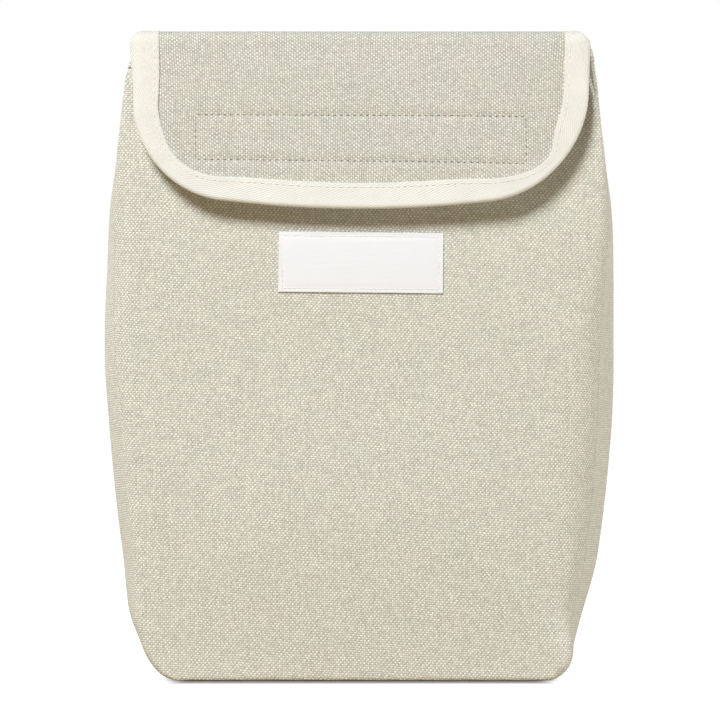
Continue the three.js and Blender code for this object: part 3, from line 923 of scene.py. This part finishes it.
@made_once
def label_satin(name, colours):
    """White woven satin: fine level threads with a soft gloss."""
    thread_pitch = 0.5 * MM
    finish = Finish(name, roughness=0.5, sheen=0.1)
    u, v = finish.split(finish.cloth())
    floats = finish.streaks(u, 500, v, 2500)
    height = finish.math("MULTIPLY_ADD", floats, 0.6, finish.wave(v, 1 / thread_pitch))
    # painted shade: the lower parts of the threads are drawn a little darker
    finish.shaded(colours.satin, finish.fit(height, -1, 1.6, 0.97, 1.0))
    finish.bump(height, 0.25, 0.06 * MM)
    return finish.material


@made_once
def lining_film(name, colours):
    """Pale wipe-clean coating with a fine emboss and soft puckers."""
    finish = Finish(name, roughness=0.42)
    cloth = finish.cloth()
    emboss = finish.noise(cloth, 1500, 1)
    pucker = finish.noise(cloth, 60, 3)
    # painted shade: darker in the puckers' hollows and paler on their crowns, after the same noise as the
    # bump
    finish.shaded(colours.film, finish.drift(pucker, 0.95, 1.02))
    finish.bump(finish.math("MULTIPLY_ADD", emboss, 0.12, pucker), 0.5, 1.2 * MM)
    return finish.material


@made_once
def closure_pile(name, colours):
    """Napped tape of the hook-and-loop strips."""
    finish = Finish(name, roughness=0.85, sheen=0.2)
    nap = finish.noise(finish.position(), 900, 4)
    # painted shade: the nap is drawn darker where its bump sinks and paler where it rises
    finish.shaded(colours.pile, finish.drift(nap, 0.86, 1.04))
    finish.bump(nap, 0.6, 0.5 * MM)
    return finish.material


@made_once
def spun_thread(name, tint):
    """Spun thread with a fine twist, its colour painted darker in the twist's hollows and paler on its
    ridges as shade.
    """
    finish = Finish(name, roughness=0.75, sheen=0.1)
    ridge_shade = finish.noise(finish.position(), 2500, 2)
    # painted shade: the colour follows the bump's noise, darker where it sinks
    finish.shaded(tint, finish.drift(ridge_shade, 0.86, 1.05))
    finish.bump(ridge_shade, 0.4, 0.2 * MM)
    return finish.material


# Operators


class Maker(bpy.types.Operator):
    """Common ground of the operators that make the bag's pieces."""

    bl_idname = "lunch_bag.maker"
    bl_label = "Lunch bag piece"
    bl_options = {"REGISTER", "UNDO"}

    def execute(self, context):
        self.sizes = context.scene.lunch_bag_sizes
        self.colours = context.scene.lunch_bag_colours
        self.bag = BagForm(self.sizes)
        self.flap = FlapForm(self.sizes, self.bag)
        self.make()
        return {"FINISHED"}


class LunchBagWalls(Maker):
    """Sews the front, back and sides: padded canvas panels that meet in rolled seams at the creases."""

    bl_idname = "lunch_bag.walls"
    bl_label = "Walls"

    COLUMNS = {"front": 112, "back": 112, "left": 72, "right": 72}
    ROWS = 112
    ROW_SPREAD = 1.4  # rows lie closer together towards the floor
    BOTTOM = 0.5 * MM
    BACK_RISE = 10.5 * MM  # how far the back goes on above the rim, into the flap
    RIM_PINCH = 0.5 * MM  # how far the rim's tape presses the canvas in
    PINCH_BELOW = (4 * MM, 3 * MM)  # how far below the rim that sets in and is whole

    def make(self):
        canvas = flax_canvas("flax_canvas", self.colours)
        tops = dict.fromkeys(SIDES, self.sizes.rim_height)
        tops["back"] += self.BACK_RISE
        for side in SIDES:
            bm = self.panel(side, tops[side])
            piece = make_piece(f"{side}_wall", bm, canvas, WALL_PAD)
            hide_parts(f"{side}_panel", f"{side}_foam")
            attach(piece, "bag_body")

    def panel(self, side, top):
        pinch = 0.0 if side == "back" else self.RIM_PINCH
        pinch_rise = [top - below for below in self.PINCH_BELOW]

        def place(a, b):
            height = self.BOTTOM + (top - self.BOTTOM) * ((b + 1) / 2) ** self.ROW_SPREAD
            pinched = band(height, pinch, pinch_rise) * (1 - a**4)
            spot, flat = self.bag.wall(side, a, height, pinched)
            return spot, (flat, height)

        return shaped_grid(self.COLUMNS[side], self.ROWS, place)


class LunchBagBase(Maker):
    """Sews in the base: a padded canvas panel inside the ring where the walls turn under."""

    bl_idname = "lunch_bag.base"
    bl_label = "Base"

    STEPS = 64
    GAP = 0.3 * MM
    PAD = 3 * MM
    HOLLOW = 0.8 * MM  # how far the middle stands off the floor
    EDGE_RISE = 0.7 * MM  # how far the edge does
    EDGE_FROM = 0.94  # share of the way out where it starts to rise

    def make(self):
        bm = shaped_grid(self.STEPS, self.STEPS, self.place)
        piece = make_piece("base", bm, flax_canvas("flax_canvas", self.colours), self.PAD)
        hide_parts("base_panel", "base_foam")
        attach(piece, "bag_body")

    def place(self, a, b):
        spot, out = self.bag.floor_spot(a, b, LunchBagWalls.BOTTOM, self.GAP)
        spot.z = self.HOLLOW * (1 - out**6) + self.EDGE_RISE * smooth(self.EDGE_FROM, 1, out)
        return spot, (spot.x, spot.y)


class LunchBagLining(Maker):
    """Lines the walls and the base with wipe-clean film."""

    bl_idname = "lunch_bag.lining"
    bl_label = "Lining"

    COLUMNS = {"front": 56, "back": 56, "left": 40, "right": 40}
    ROWS = 60
    FLOOR_STEPS = 48
    FLOOR = 4.6 * MM
    EDGE_RISE = 0.6 * MM  # how far the floor's edge turns up
    EDGE_FROM = 0.9  # share of the way out where it starts to

    def make(self):
        film = lining_film("lining_film", self.colours)
        for side in SIDES:
            low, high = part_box(f"{side}_lining")
            bm = self.panel(side, high.z)
            piece = make_piece(f"{side}_film", bm, film, LINING)
            self.lay(piece, side, (self.mean_width(side, high.z), high.z - low.z))
        bm = shaped_grid(self.FLOOR_STEPS, self.FLOOR_STEPS, self.floor_place)
        piece = make_piece("base_film", bm, film, LINING)
        low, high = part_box("base_lining")
        self.lay(piece, "base", (high.x - low.x, high.y - low.y))

    def mean_width(self, side, top):
        heights = [self.FLOOR + (top - self.FLOOR) * i / self.ROWS for i in range(self.ROWS + 1)]
        halves = [self.bag.wall(side, 1, height, LINING_DEPTH, cloth=False)[1] for height in heights]
        return 2 * sum(halves) / len(halves)

    def lay(self, piece, side, flat):
        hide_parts(f"{side}_lining")
        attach(piece, "bag_body")

    def panel(self, side, top):
        def place(a, b):
            height = self.FLOOR + (top - self.FLOOR) * (b + 1) / 2
            spot, flat = self.bag.wall(side, a, height, LINING_DEPTH, cloth=False)
            return spot, (flat, height)

        return shaped_grid(self.COLUMNS[side], self.ROWS, place)

    def floor_place(self, a, b):
        spot, out = self.bag.floor_spot(a, b, self.FLOOR, LINING_DEPTH, cloth=False)
        spot.z = self.FLOOR + LINING + self.EDGE_RISE * smooth(self.EDGE_FROM, 1, out)
        return spot, (spot.x, spot.y)


class LunchBagRimTape(Maker):
    """Folds canvas tape over the raw edge of the mouth, on the front and both sides."""

    bl_idname = "lunch_bag.rim_tape"
    bl_label = "Rim tape"

    OUT = -0.2 * MM  # depth of the outer lip's face, and of the inner one's
    IN = 5.75 * MM
    OUT_LIP = 2 * MM
    TURN = 1.2 * MM  # how far below the rim the tape starts to turn over it
    RISE = 2.4 * MM  # how far it rises from there
    MIDDLE_BELOW = 4 * MM  # how far below the rim a point inside the fold lies
    STEPS = (80, 28)  # along the tape and across it
    STITCH_PITCH = 3 * MM
    STITCH_REACH = 0.95  # share of the rim that the stitches run along
    THREAD = 0.45 * MM

    def make(self):
        canvas = flax_canvas("flax_canvas", self.colours)
        rows = []
        for side in ("front", "left", "right"):
            bm = shaped_grid(*self.STEPS, partial(self.place, side), self.middle(side))
            piece = make_piece(f"{side}_rim_binding", bm, canvas, TAPE)
            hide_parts(f"{side}_rim_tape")
            run = 2 * self.bag.wall(side, 1, self.sizes.rim_height, 0.0, cloth=False)[1]
            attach(piece, "bag_body")
            rows.append(thread_row(partial(self.stitch, side, run), run, self.STITCH_PITCH))
        thread = spun_thread("flax_thread", self.colours.flax_thread)
        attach(sew("rim_stitches", rows, thread, self.THREAD), "bag_body")

    def middle(self, side):
        """A point inside the fold."""
        spot = self.bag.wall(side, 0, self.sizes.rim_height, WALL_PAD / 2, cloth=False)[0]
        return spot - Vector((0, 0, self.MIDDLE_BELOW))

    def across(self):
        """Flat width of the tape."""
        return self.OUT_LIP + math.pi * (self.IN - self.OUT) / 2 + self.sizes.tape_width

    def place(self, side, a, b):
        """Across the fold from the outer lip, over the rim, to the inner lip."""
        half = (self.IN - self.OUT) / 2
        gone = (b + 1) / 2 * self.across()
        top = self.sizes.rim_height - self.TURN
        over = gone - self.OUT_LIP
        if over < 0:
            depth, height = self.OUT, top + over
        elif over > math.pi * half:
            depth, height = self.IN, top - over + math.pi * half
        else:
            depth = self.OUT + half * (1 - math.cos(over / half))
            height = top + self.RISE * math.sin(over / half)
        if side == "front":
            depth += self.bag.seam_dip(hand(a), a, self.bag.half_width(height))
        else:
            depth += self.bag.seam_dip(HANDS[side], a, self.bag.half_depth(height))
        spot, flat = self.bag.wall(side, a, height, depth, cloth=False)
        return spot, (flat, gone)

    def stitch(self, side, run, distance):
        across = (2 * distance / run - 1) * self.STITCH_REACH
        height = self.sizes.rim_height - self.sizes.tape_width
        spot = self.bag.wall(side, across, height, self.IN + THREAD_PROUD, cloth=False)[0]
        out = spot - self.bag.wall(side, across, height, 0.0, cloth=False)[0]
        return spot, out.normalized()


class LunchBagLabel(Maker):
    """Sews the bare satin label to the front, a little askew."""

    bl_idname = "lunch_bag.label"
    bl_label = "Label"

    TILT = math.radians(-0.55)
    RAISED = 0.5 * MM  # how far above its solid's middle it is sewn
    THICK = 0.5 * MM
    SOFT_EDGE = 0.18 * MM
    STEPS = (68, 25)  # across the label and up it
    LIFT = 0.75 * MM  # how far its face stands off the front
    RIPPLE = 0.12 * MM
    RIPPLES = 60  # to a metre
    STITCH_INSET = 1.6 * MM
    STITCH_DIP = 0.2 * MM  # how far a row of stitches draws it in
    DIP_REACH = 0.8 * MM
    STITCH_LIFT = 0.62 * MM  # how far the thread's middle stands off the front
    STITCH_PITCH = 2.1 * MM
    THREAD = 0.42 * MM

    def make(self):
        low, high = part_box("label")
        self.width = high.x - low.x
        self.tall = high.z - low.z
        self.centre = (low.z + high.z) / 2 + self.RAISED
        bm = shaped_grid(*self.STEPS, self.place)
        satin = label_satin("label_satin", self.colours)
        piece = make_piece("satin_label", bm, satin, self.THICK)
        soften(piece, self.SOFT_EDGE)
        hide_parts("label")
        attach(piece, "bag_body")
        thread = spun_thread("white_thread", self.colours.white_thread)
        inset = 2 * self.STITCH_INSET
        rows = box_rows(self.width - inset, self.tall - inset, self.stitch, self.STITCH_PITCH)
        sewn = sew("label_stitches", rows, thread, self.THREAD)
        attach(sewn, "bag_body")

    def spot(self, u, w, depth):
        turned = Matrix.Rotation(self.TILT, 2) @ Vector((u, w))
        return self.bag.front_spot(turned.x, self.centre + turned.y, depth)

    def place(self, a, b):
        u = a * self.width / 2
        w = b * self.tall / 2
        inset = min(self.width / 2 - abs(u), self.tall / 2 - abs(w))
        lift = self.LIFT + self.RIPPLE * noise.noise(Vector((u * self.RIPPLES, w * self.RIPPLES, 1)))
        lift -= self.STITCH_DIP * math.exp(-(((inset - self.STITCH_INSET) / self.DIP_REACH) ** 2))
        return self.spot(u, w, -lift), (u, w)

    def stitch(self, u, w):
        spot = self.spot(u, w, -self.STITCH_LIFT)
        return spot, (spot - self.spot(u, w, 0)).normalized()


class LunchBagClosure(Maker):
    """Makes the loop strip on the front and the hook strip behind the flap's leaf."""

    bl_idname = "lunch_bag.closure"
    bl_label = "Closure strips"

    LOOP_STEPS = (138, 24)  # across the strip and up it
    LOOP_THICK = 0.9 * MM
    LOOP_LIFT = 1.2 * MM  # how far the loops' face stands off the front
    NAP = 0.25 * MM
    NAP_NOISE = 420  # tufts to a metre
    NAP_SEED = 9
    HOOK_STEPS = (46, 8)
    HOOK_THICK = 0.5 * MM
    HOOK_LIFT = 0.7 * MM  # how far the hooks' tape stands off the flap's lining side
    HOOK_EDGE = 0.15 * MM
    HOOK_STEP = 2.2 * MM
    HOOK_INSET = 3 * MM  # distance of the outermost hooks from the tape's edge
    HOOK_FOOT = 0.6 * MM
    HOOK_TIP = 1.5 * MM
    HOOK_BEND = 0.35 * MM
    HOOK_WIDE = 0.4 * MM
    BEFORE = Vector((0, -1, 0.2))  # a point in front of the bag

    def make(self):
        pile = closure_pile("closure_pile", self.colours)
        low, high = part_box("loop_strip")
        self.width = high.x - low.x
        self.tall = high.z - low.z
        self.loop_height = (low.z + high.z) / 2
        bm = shaped_grid(*self.LOOP_STEPS, self.loop_place)
        loops = make_piece("loop_pile", bm, pile, self.LOOP_THICK)
        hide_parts("loop_strip")
        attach(loops, "bag_body")
        bm = shaped_grid(*self.HOOK_STEPS, self.hook_place, self.BEFORE)
        tape = make_piece("hook_tape", bm, pile, self.HOOK_THICK)
        soften(tape, self.HOOK_EDGE)
        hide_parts("hook_strip")
        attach(tape, "flap_leaf")
        hooks = make_piece("hooks", self.hooks(), pile)
        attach(hooks, "flap_leaf")

    def loop_place(self, a, b):
        x = a * self.width / 2
        height = self.loop_height + b * self.tall / 2
        nap = noise.noise(Vector((x * self.NAP_NOISE, height * self.NAP_NOISE, self.NAP_SEED)))
        return self.bag.front_spot(x, height, -self.LOOP_LIFT - self.NAP * nap), (x, height)

    def hook_spot(self, u, w, depth):
        along = w + self.flap.closure - self.flap.fold_lead
        return self.flap.point(u, along, depth - self.flap.pressed(u, along))

    def hook_place(self, a, b):
        u = a * self.width / 2
        w = b * self.tall / 2
        return self.hook_spot(u, w, FLAP + self.HOOK_LIFT), (u, w)

    def hooks(self):
        """Rows of small bent hooks on the strip's face."""
        bm = bmesh.new()
        wide = self.width - 2 * self.HOOK_INSET
        tall = self.tall - 2 * self.HOOK_INSET
        columns = round(wide / self.HOOK_STEP)
        rows = round(tall / self.HOOK_STEP)
        for i in range(columns + 1):
            for j in range(rows + 1):
                u = (i / columns - 0.5) * wide
                w = (j / rows - 0.5) * tall
                foot = self.hook_spot(u, w, FLAP + self.HOOK_FOOT)
                tip = self.hook_spot(u + self.HOOK_BEND, w, FLAP + self.HOOK_TIP)
                bead(bm, foot, tip, (tip - foot).orthogonal(), self.HOOK_WIDE, segments=5, rings=4)
        return bm


class LunchBagFlap(Maker):
    """Makes the flap's padded canvas and its lining, in a rear part over the back wall and a front part."""

    bl_idname = "lunch_bag.flap"
    bl_label = "Flap"

    PAINTED_SHADE = 0.91  # painted shade: the flap's canvas is drawn a little darker than the walls', as the flap leans back into the lamps' light and would show brighter
    EDGE_THIN = 0.55  # share of the padding that is left out under the tape
    UNDER_TAPE = 0.4 * MM  # how far inside the edge the cloth ends, within the tape's fold
    FRONT_STEPS = (120, 110)  # across the flap and along it
    REAR_STEPS = (90, 56)
    REAR_FILM_STEPS = (90, 48)
    REAR_EDGE = 0.25 * MM
    TUCK = 14 * MM  # how far the rear lining goes down into the mouth
    TUCK_LEAN = 1.2 * MM
    TUCK_GAP = 0.7 * MM  # how far it stands off the back wall's lining
    TUCK_ROUND = 3.5 * MM
    TUCK_NARROWER = 0.05  # share by which it is narrower there
    NARROWER = (-0.004, 0.010)  # distances past the bend at the back where it gets its whole width
    PRESSED_TO = 0.008  # and by which the tape presses it fully

    def make(self):
        flap = self.flap
        canvas = flax_canvas("flap_canvas", self.colours, self.PAINTED_SHADE, False)
        film = lining_film("lining_film", self.colours)
        cover = make_piece("flap_cover", self.front(flap.outer), canvas, FLAP_PAD)
        thin_out(cover, lambda x, along: 1 - self.EDGE_THIN * flap.taped(x, along))
        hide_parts("leaf_panel", "leaf_foam", "crown_foam")
        lining = make_piece("flap_film", self.front(self.inner), film, LINING)
        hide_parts("leaf_lining")
        for piece in (cover, lining):
            bend_at_fold(piece)
        self.rear(canvas, film)

    def inner(self, x, along):
        """A point of the lining, which the tape presses towards the outer face."""
        return self.flap.point(x, along, FLAP_LINING_DEPTH - self.flap.pressed(x, along))

    def front(self, surface):
        flap = self.flap
        half = flap.half - self.UNDER_TAPE

        def place(a, b):
            x = half * math.sin(a * math.pi / 2)
            along = flap.split + (flap.edge(x) - self.UNDER_TAPE - flap.split) * (b + 1) / 2
            return surface(x, along), (x, -along)

        return shaped_grid(*self.FRONT_STEPS, place)

    def rear(self, canvas, film):
        cover = self.rear_cover(canvas)
        lining = self.rear_lining(film)
        for piece in (cover, lining):
            bend_at_back(piece)

    def rear_cover(self, canvas):
        flap = self.flap
        half = flap.half - self.UNDER_TAPE
        run = flap.split - flap.lap_end

        def place(a, b):
            x = a * half
            along = flap.lap_end + run * (b + 1) / 2
            return flap.outer(x, along), (x, -along)

        bm = shaped_grid(*self.REAR_STEPS, place)
        cover = make_piece("flap_rear_cover", bm, canvas, CANVAS)
        soften(cover, self.REAR_EDGE)
        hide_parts("crown_panel")
        return cover

    def rear_lining(self, film):
        """Lining of the crown's rear, which goes down into the mouth along the back wall's lining."""
        flap = self.flap
        half = flap.half - self.UNDER_TAPE
        lined = LINING_DEPTH + LINING + self.TUCK_GAP
        inner = self.bag.face_reach(0, self.sizes.rim_height) - lined
        under = flap.top - FLAP_LINING_DEPTH
        split_y = flap.path.at(flap.split + flap.to_fold)[0][0]
        foot = (inner + self.TUCK_LEAN, under - self.TUCK)
        path = BentPath([foot, (inner, under), (split_y, under)], [self.TUCK_ROUND])

        def place(a, b):
            x = a * half
            along = flap.split + path.length * (b - 1) / 2
            past = along - flap.back_end
            pressed = flap.pressed(x, along) * smooth(0, self.PRESSED_TO, past)
            narrower = self.TUCK_NARROWER * (1 - smooth(*self.NARROWER, past))
            spot, inwards = path.at(path.length * (b + 1) / 2)
            spot += inwards * (flap.droop(x, along) - pressed)
            return Vector((x * (flap.widen(x, flap.split) - narrower), *spot)), (x, path.length * b / 2)

        bm = shaped_grid(*self.REAR_FILM_STEPS, place)
        lining = make_piece("flap_rear_film", bm, film, LINING)
        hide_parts("crown_lining")
        return lining


def bend_at_fold(piece):
    """Bakes the placement of a piece of the flap into its mesh."""
    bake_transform(piece)


def bend_at_back(piece):
    """Bakes the placement of a piece of the flap into its mesh."""
    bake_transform(piece)


class LunchBagFlapTape(Maker):
    """Binds the flap's edge with twill tape, folded round it from the outer face to the lining."""

    bl_idname = "lunch_bag.flap_tape"
    bl_label = "Flap tape"

    PROUD = 0.25 * MM  # how far the tape's faces stand off the flap's even faces
    FOLD_INSET = MM  # how far inside the edge the fold starts
    BULGE = 1.425 * MM  # how far it bulges outwards from there
    STEPS = 330
    END_STEPS = 70
    ACROSS_STEPS = 30
    PAST_LAP = 0.3 * MM  # how far the tape goes on below the lap
    LIP_FROM = (0.001, 0.006)  # distances past the bend at the back where the inner lip sets in
    THICK_FROM = (-0.006, 0.002)  # and where the edge gets its whole thickness

    def make(self):
        twill = twill_tape("twill_tape", self.colours)
        line = self.flap.edge_line(self.STEPS)
        tape = make_piece("flap_binding", self.sweep(line), twill, TAPE)
        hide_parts("leaf_tape")
        self.declare(tape, line)
        bend_at_fold(tape)
        flap = self.flap
        for name, side in HANDS.items():
            ends = [(side * flap.half, flap.split), (side * flap.half, flap.lap_end - self.PAST_LAP)]
            line = even([Vector(end) for end in ends[::side]], self.END_STEPS)
            bm = self.sweep(line, at_back=True)
            tape = make_piece(f"crown_binding_{name}", bm, twill, TAPE)
            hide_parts(f"crown_tape_{name}")
            self.declare(tape, line)
            bend_at_back(tape)

    def declare(self, tape, line):
        run = sum((b - a).length for a, b in zip(line, line[1:]))

    def section(self, share, lip_out, lip_in, thick):
        """Inset from the edge and depth, from the outer lip round the edge to the inner lip."""
        lip = lip_out - self.FOLD_INSET
        half = thick / 2 + self.PROUD
        around = math.pi * half
        gone = share * (lip + around + max(lip_in - self.FOLD_INSET, 0))
        if gone < lip:
            return lip_out - gone, -self.PROUD
        if gone > lip + around:
            return self.FOLD_INSET + gone - lip - around, thick + self.PROUD
        turn = (gone - lip) / half
        return self.FOLD_INSET - self.BULGE * math.sin(turn), thick / 2 - half * math.cos(turn)

    def edge_form(self, along, at_back):
        """The inner lip's share of the outer lip's width, and the thickness of the flap's edge."""
        if not at_back:
            return 1, self.flap.EDGE
        past = along - self.flap.back_end
        more = self.flap.EDGE - CANVAS
        return smooth(*self.LIP_FROM, past), CANVAS + more * smooth(*self.THICK_FROM, past)

    def sweep(self, line, at_back=False):
        """The tape along a line on the flat cloth, without its inner lip where it lies on the back wall."""
        flap = self.flap
        last = len(line) - 1
        pitch = (line[1] - line[0]).length
        width = 2 * self.sizes.tape_width + FLAP

        def place(a, b):
            i = round((a + 1) / 2 * last)
            spot = line[i]
            run = (line[min(i + 1, last)] - line[max(i - 1, 0)]).normalized()
            lip = flap.tape_lip(*spot)
            inner_share, thick = self.edge_form(spot.y, at_back)
            share = (b + 1) / 2
            inset, depth = self.section(share, lip, lip * inner_share, thick)
            x = spot.x + run.y * inset
            along = spot.y - run.x * inset
            return flap.point(x, along, depth), (i * pitch, share * width)

        return shaped_grid(last, self.ACROSS_STEPS, place)


class LunchBagStitches(Maker):
    """Sews the flap's tape, the closure's rectangle and the lap on the back wall."""

    bl_idname = "lunch_bag.stitches"
    bl_label = "Flap stitching"

    THREAD = 0.5 * MM
    ROW_PITCH = 3.0 * MM
    TAPE_STEPS = 400
    TAPE_INSET = 2 * MM  # how far inside the tape's outer lip its row is sewn
    CLOSURE_PITCH = 2.7 * MM
    CLOSURE_SHARE = 0.5  # share of the pitch that a stitch of the closure shows
    LAP_ROWS = (3 * MM, 9 * MM)  # distances of the rows from the lap's lower edge

    def make(self):
        cream = spun_thread("cream_thread", self.colours.cream_thread)
        flax = spun_thread("flax_thread", self.colours.flax_thread)
        tape = sew("tape_stitches", [self.tape_row()], cream, self.THREAD)
        bend_at_fold(tape)
        box = (self.sizes.closure_length, self.sizes.closure_width)
        rows = box_rows(*box, self.closure_stitch, self.CLOSURE_PITCH, self.CLOSURE_SHARE)
        closure = sew("closure_stitches", rows, flax, self.THREAD)
        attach(closure, "flap_leaf")
        rows = [self.lap_row(up) for up in self.LAP_ROWS]
        lap = sew("lap_stitches", rows, flax, self.THREAD)
        bend_at_back(lap)

    def tape_row(self):
        flap = self.flap
        steps = self.TAPE_STEPS
        line = flap.edge_line(steps)
        run = (line[1] - line[0]).length * steps

        def place(distance):
            step = distance / run * steps
            i = min(int(step), steps - 1)
            spot = line[i].lerp(line[i + 1], step - i)
            way = (line[i + 1] - line[i]).normalized()
            inset = flap.tape_lip(*spot) - self.TAPE_INSET
            x = spot.x + way.y * inset
            along = spot.y - way.x * inset
            top = flap.point(x, along, -LunchBagFlapTape.PROUD - THREAD_PROUD)
            return top, (top - flap.point(x, along, FLAP)).normalized()

        return thread_row(place, run, self.ROW_PITCH)

    def closure_stitch(self, u, w):
        x, along = self.flap.closure_spot(u, w)
        return self.on_canvas(x, along, 0)

    def lap_row(self, up):
        along = self.flap.lap_end + up
        half = self.flap.half - self.sizes.tape_width - MM

        def place(distance):
            return self.on_canvas(distance - half, along, THREAD_PROUD)

        return thread_row(place, 2 * half, self.ROW_PITCH)

    def on_canvas(self, x, along, proud):
        """A point just outside the flap's canvas, and its outward direction."""
        spot = self.flap.outer(x, along, -proud)
        return spot, (spot - self.flap.outer(x, along, MM)).normalized()


class LunchBagStage(bpy.types.Operator):
    """Sets the pale floor, the soft light and the camera at the photograph's view."""

    bl_idname = "lunch_bag.stage"
    bl_label = "Stage"

    CAMERA_AWAY = 2.0
    CAMERA_ASIDE = -0.4 * MM
    CAMERA_HEIGHT = 0.1322
    VIEW_WIDTH = 0.3037  # width that the picture shows at the middle of the bag
    FLOOR_REACH = 6
    FOOTPRINT = (0.070, 0.056)  # half sizes of the bag's stand on the floor
    SHADOW_REACH = 0.016  # beyond this from the stand the floor is as white as the backdrop
    SHADOW_GLOW = 0.05  # the floor's glow under the stand, kept low to paint a contact shadow there
    AMBIENT = 0.07  # strength of the room's light

    # Name, place, width and power of each lamp
    LAMPS = (
        ("key", (-1.65, -3.3, 3.45), 1.7, 268),
        ("right side", (1.5, -0.01, 0.2), 0.8, 17),
        ("left side", (-1.2, 1.0, 0.3), 0.8, 10.3),
    )

    def execute(self, context):
        scene = context.scene
        scene.view_settings.view_transform = "Standard"
        self.floor(scene)
        self.light(scene)
        camera = bpy.data.cameras.new("camera")
        camera.lens = camera.sensor_width * self.CAMERA_AWAY / self.VIEW_WIDTH
        stand = bpy.data.objects.new("camera", camera)
        stand.location = (self.CAMERA_ASIDE, -self.CAMERA_AWAY, self.CAMERA_HEIGHT)
        stand.rotation_euler = (math.pi / 2, 0, 0)
        scene.collection.objects.link(stand)
        scene.camera = stand
        return {"FINISHED"}

    def floor(self, scene):
        bm = bmesh.new()
        bmesh.ops.create_grid(bm, x_segments=2, y_segments=2, size=self.FLOOR_REACH)
        mesh = bpy.data.meshes.new("floor")
        bm.to_mesh(mesh)
        bm.free()
        floor = bpy.data.objects.new("floor", mesh)
        scene.collection.objects.link(floor)
        mesh.materials.append(self.floor_finish(scene.lunch_bag_colours))

    def floor_finish(self, colours):
        """Pale floor that glows as white as the backdrop, apart from close to the bag, where the glow fades
        and a darker grey that only the camera sees paints a contact shadow over the lamps' own.
        """
        finish = Finish("pale_floor", roughness=0.9, gloss=0.0)
        finish.surface.inputs["Emission Color"].default_value = (1, 1, 1, 1)
        beyond = []
        for place, half in zip(finish.split(finish.position()), self.FOOTPRINT):
            beyond.append(finish.math("SUBTRACT", finish.math("ABSOLUTE", place), half))
        away = finish.math("MAXIMUM", *beyond)
        glow = finish.fit(away, 0.0, self.SHADOW_REACH, self.SHADOW_GLOW, 1.0)
        glow.node.interpolation_type = "SMOOTHERSTEP"
        seen = finish.nodes.new("ShaderNodeLightPath").outputs["Is Camera Ray"]
        finish.colour(finish.mix(seen, colours.floor, colours.floor_shade))
        finish.put(finish.surface.inputs["Emission Strength"], finish.times(seen, glow))
        return finish.material

    def light(self, scene):
        world = bpy.data.worlds.new("studio")
        scene.world = world
        world.use_nodes = True
        nodes = world.node_tree.nodes
        links = world.node_tree.links
        around = nodes["Background"]
        path = nodes.new("ShaderNodeLightPath")
        direct = nodes.new("ShaderNodeMath")
        direct.operation = "MAXIMUM"
        links.new(path.outputs["Is Camera Ray"], direct.inputs[0])
        links.new(path.outputs["Is Glossy Ray"], direct.inputs[1])
        tint = nodes.new("ShaderNodeMix")
        tint.data_type = "RGBA"
        tint.inputs[6].default_value = [share * self.AMBIENT for share in scene.lunch_bag_colours.ambient]
        tint.inputs[7].default_value = (1, 1, 1, 1)
        links.new(direct.outputs[0], tint.inputs[0])
        links.new(tint.outputs[2], around.inputs["Color"])
        for lamp in self.LAMPS:
            self.lamp(scene, *lamp)

    def lamp(self, scene, name, place, size, power):
        light = bpy.data.lights.new(name, "AREA")
        light.shape = "DISK"
        light.size = size
        light.energy = power
        lamp = bpy.data.objects.new(name, light)
        lamp.location = place
        lamp.rotation_euler = (INSIDE - lamp.location).to_track_quat("-Z", "Y").to_euler()
        scene.collection.objects.link(lamp)


class LunchBagPanel(bpy.types.Panel):
    """Lists the bag's operators, sizes and colours in the sidebar."""

    bl_idname = "VIEW3D_PT_lunch_bag"
    bl_label = "Lunch bag"
    bl_space_type = "VIEW_3D"
    bl_region_type = "UI"
    bl_category = "Lunch bag"

    def draw(self, context):
        for step in STEPS:
            self.layout.operator(step.bl_idname)
        for group in (context.scene.lunch_bag_sizes, context.scene.lunch_bag_colours):
            box = self.layout.box()
            for name in group.bl_rna.properties.keys():
                if name not in ("rna_type", "name"):
                    box.prop(group, name)


STEPS = (
    LunchBagWalls,
    LunchBagBase,
    LunchBagLining,
    LunchBagRimTape,
    LunchBagLabel,
    LunchBagClosure,
    LunchBagFlap,
    LunchBagFlapTape,
    LunchBagStitches,
    LunchBagStage,
)
CLASSES = (LunchBagSizes, LunchBagColours, *STEPS, LunchBagPanel)


def register():
    for item in CLASSES:
        bpy.utils.register_class(item)
    bpy.types.Scene.lunch_bag_sizes = PointerProperty(type=LunchBagSizes)
    bpy.types.Scene.lunch_bag_colours = PointerProperty(type=LunchBagColours)


def unregister():
    del bpy.types.Scene.lunch_bag_colours
    del bpy.types.Scene.lunch_bag_sizes
    for item in reversed(CLASSES):
        bpy.utils.unregister_class(item)


def main():
    register()
    bpy.ops.lunch_bag.walls()
    bpy.ops.lunch_bag.base()
    bpy.ops.lunch_bag.lining()
    bpy.ops.lunch_bag.rim_tape()
    bpy.ops.lunch_bag.label()
    bpy.ops.lunch_bag.closure()
    bpy.ops.lunch_bag.flap()
    bpy.ops.lunch_bag.flap_tape()
    bpy.ops.lunch_bag.stitches()
    bpy.ops.lunch_bag.stage()


if __name__ == "__main__":
    main()
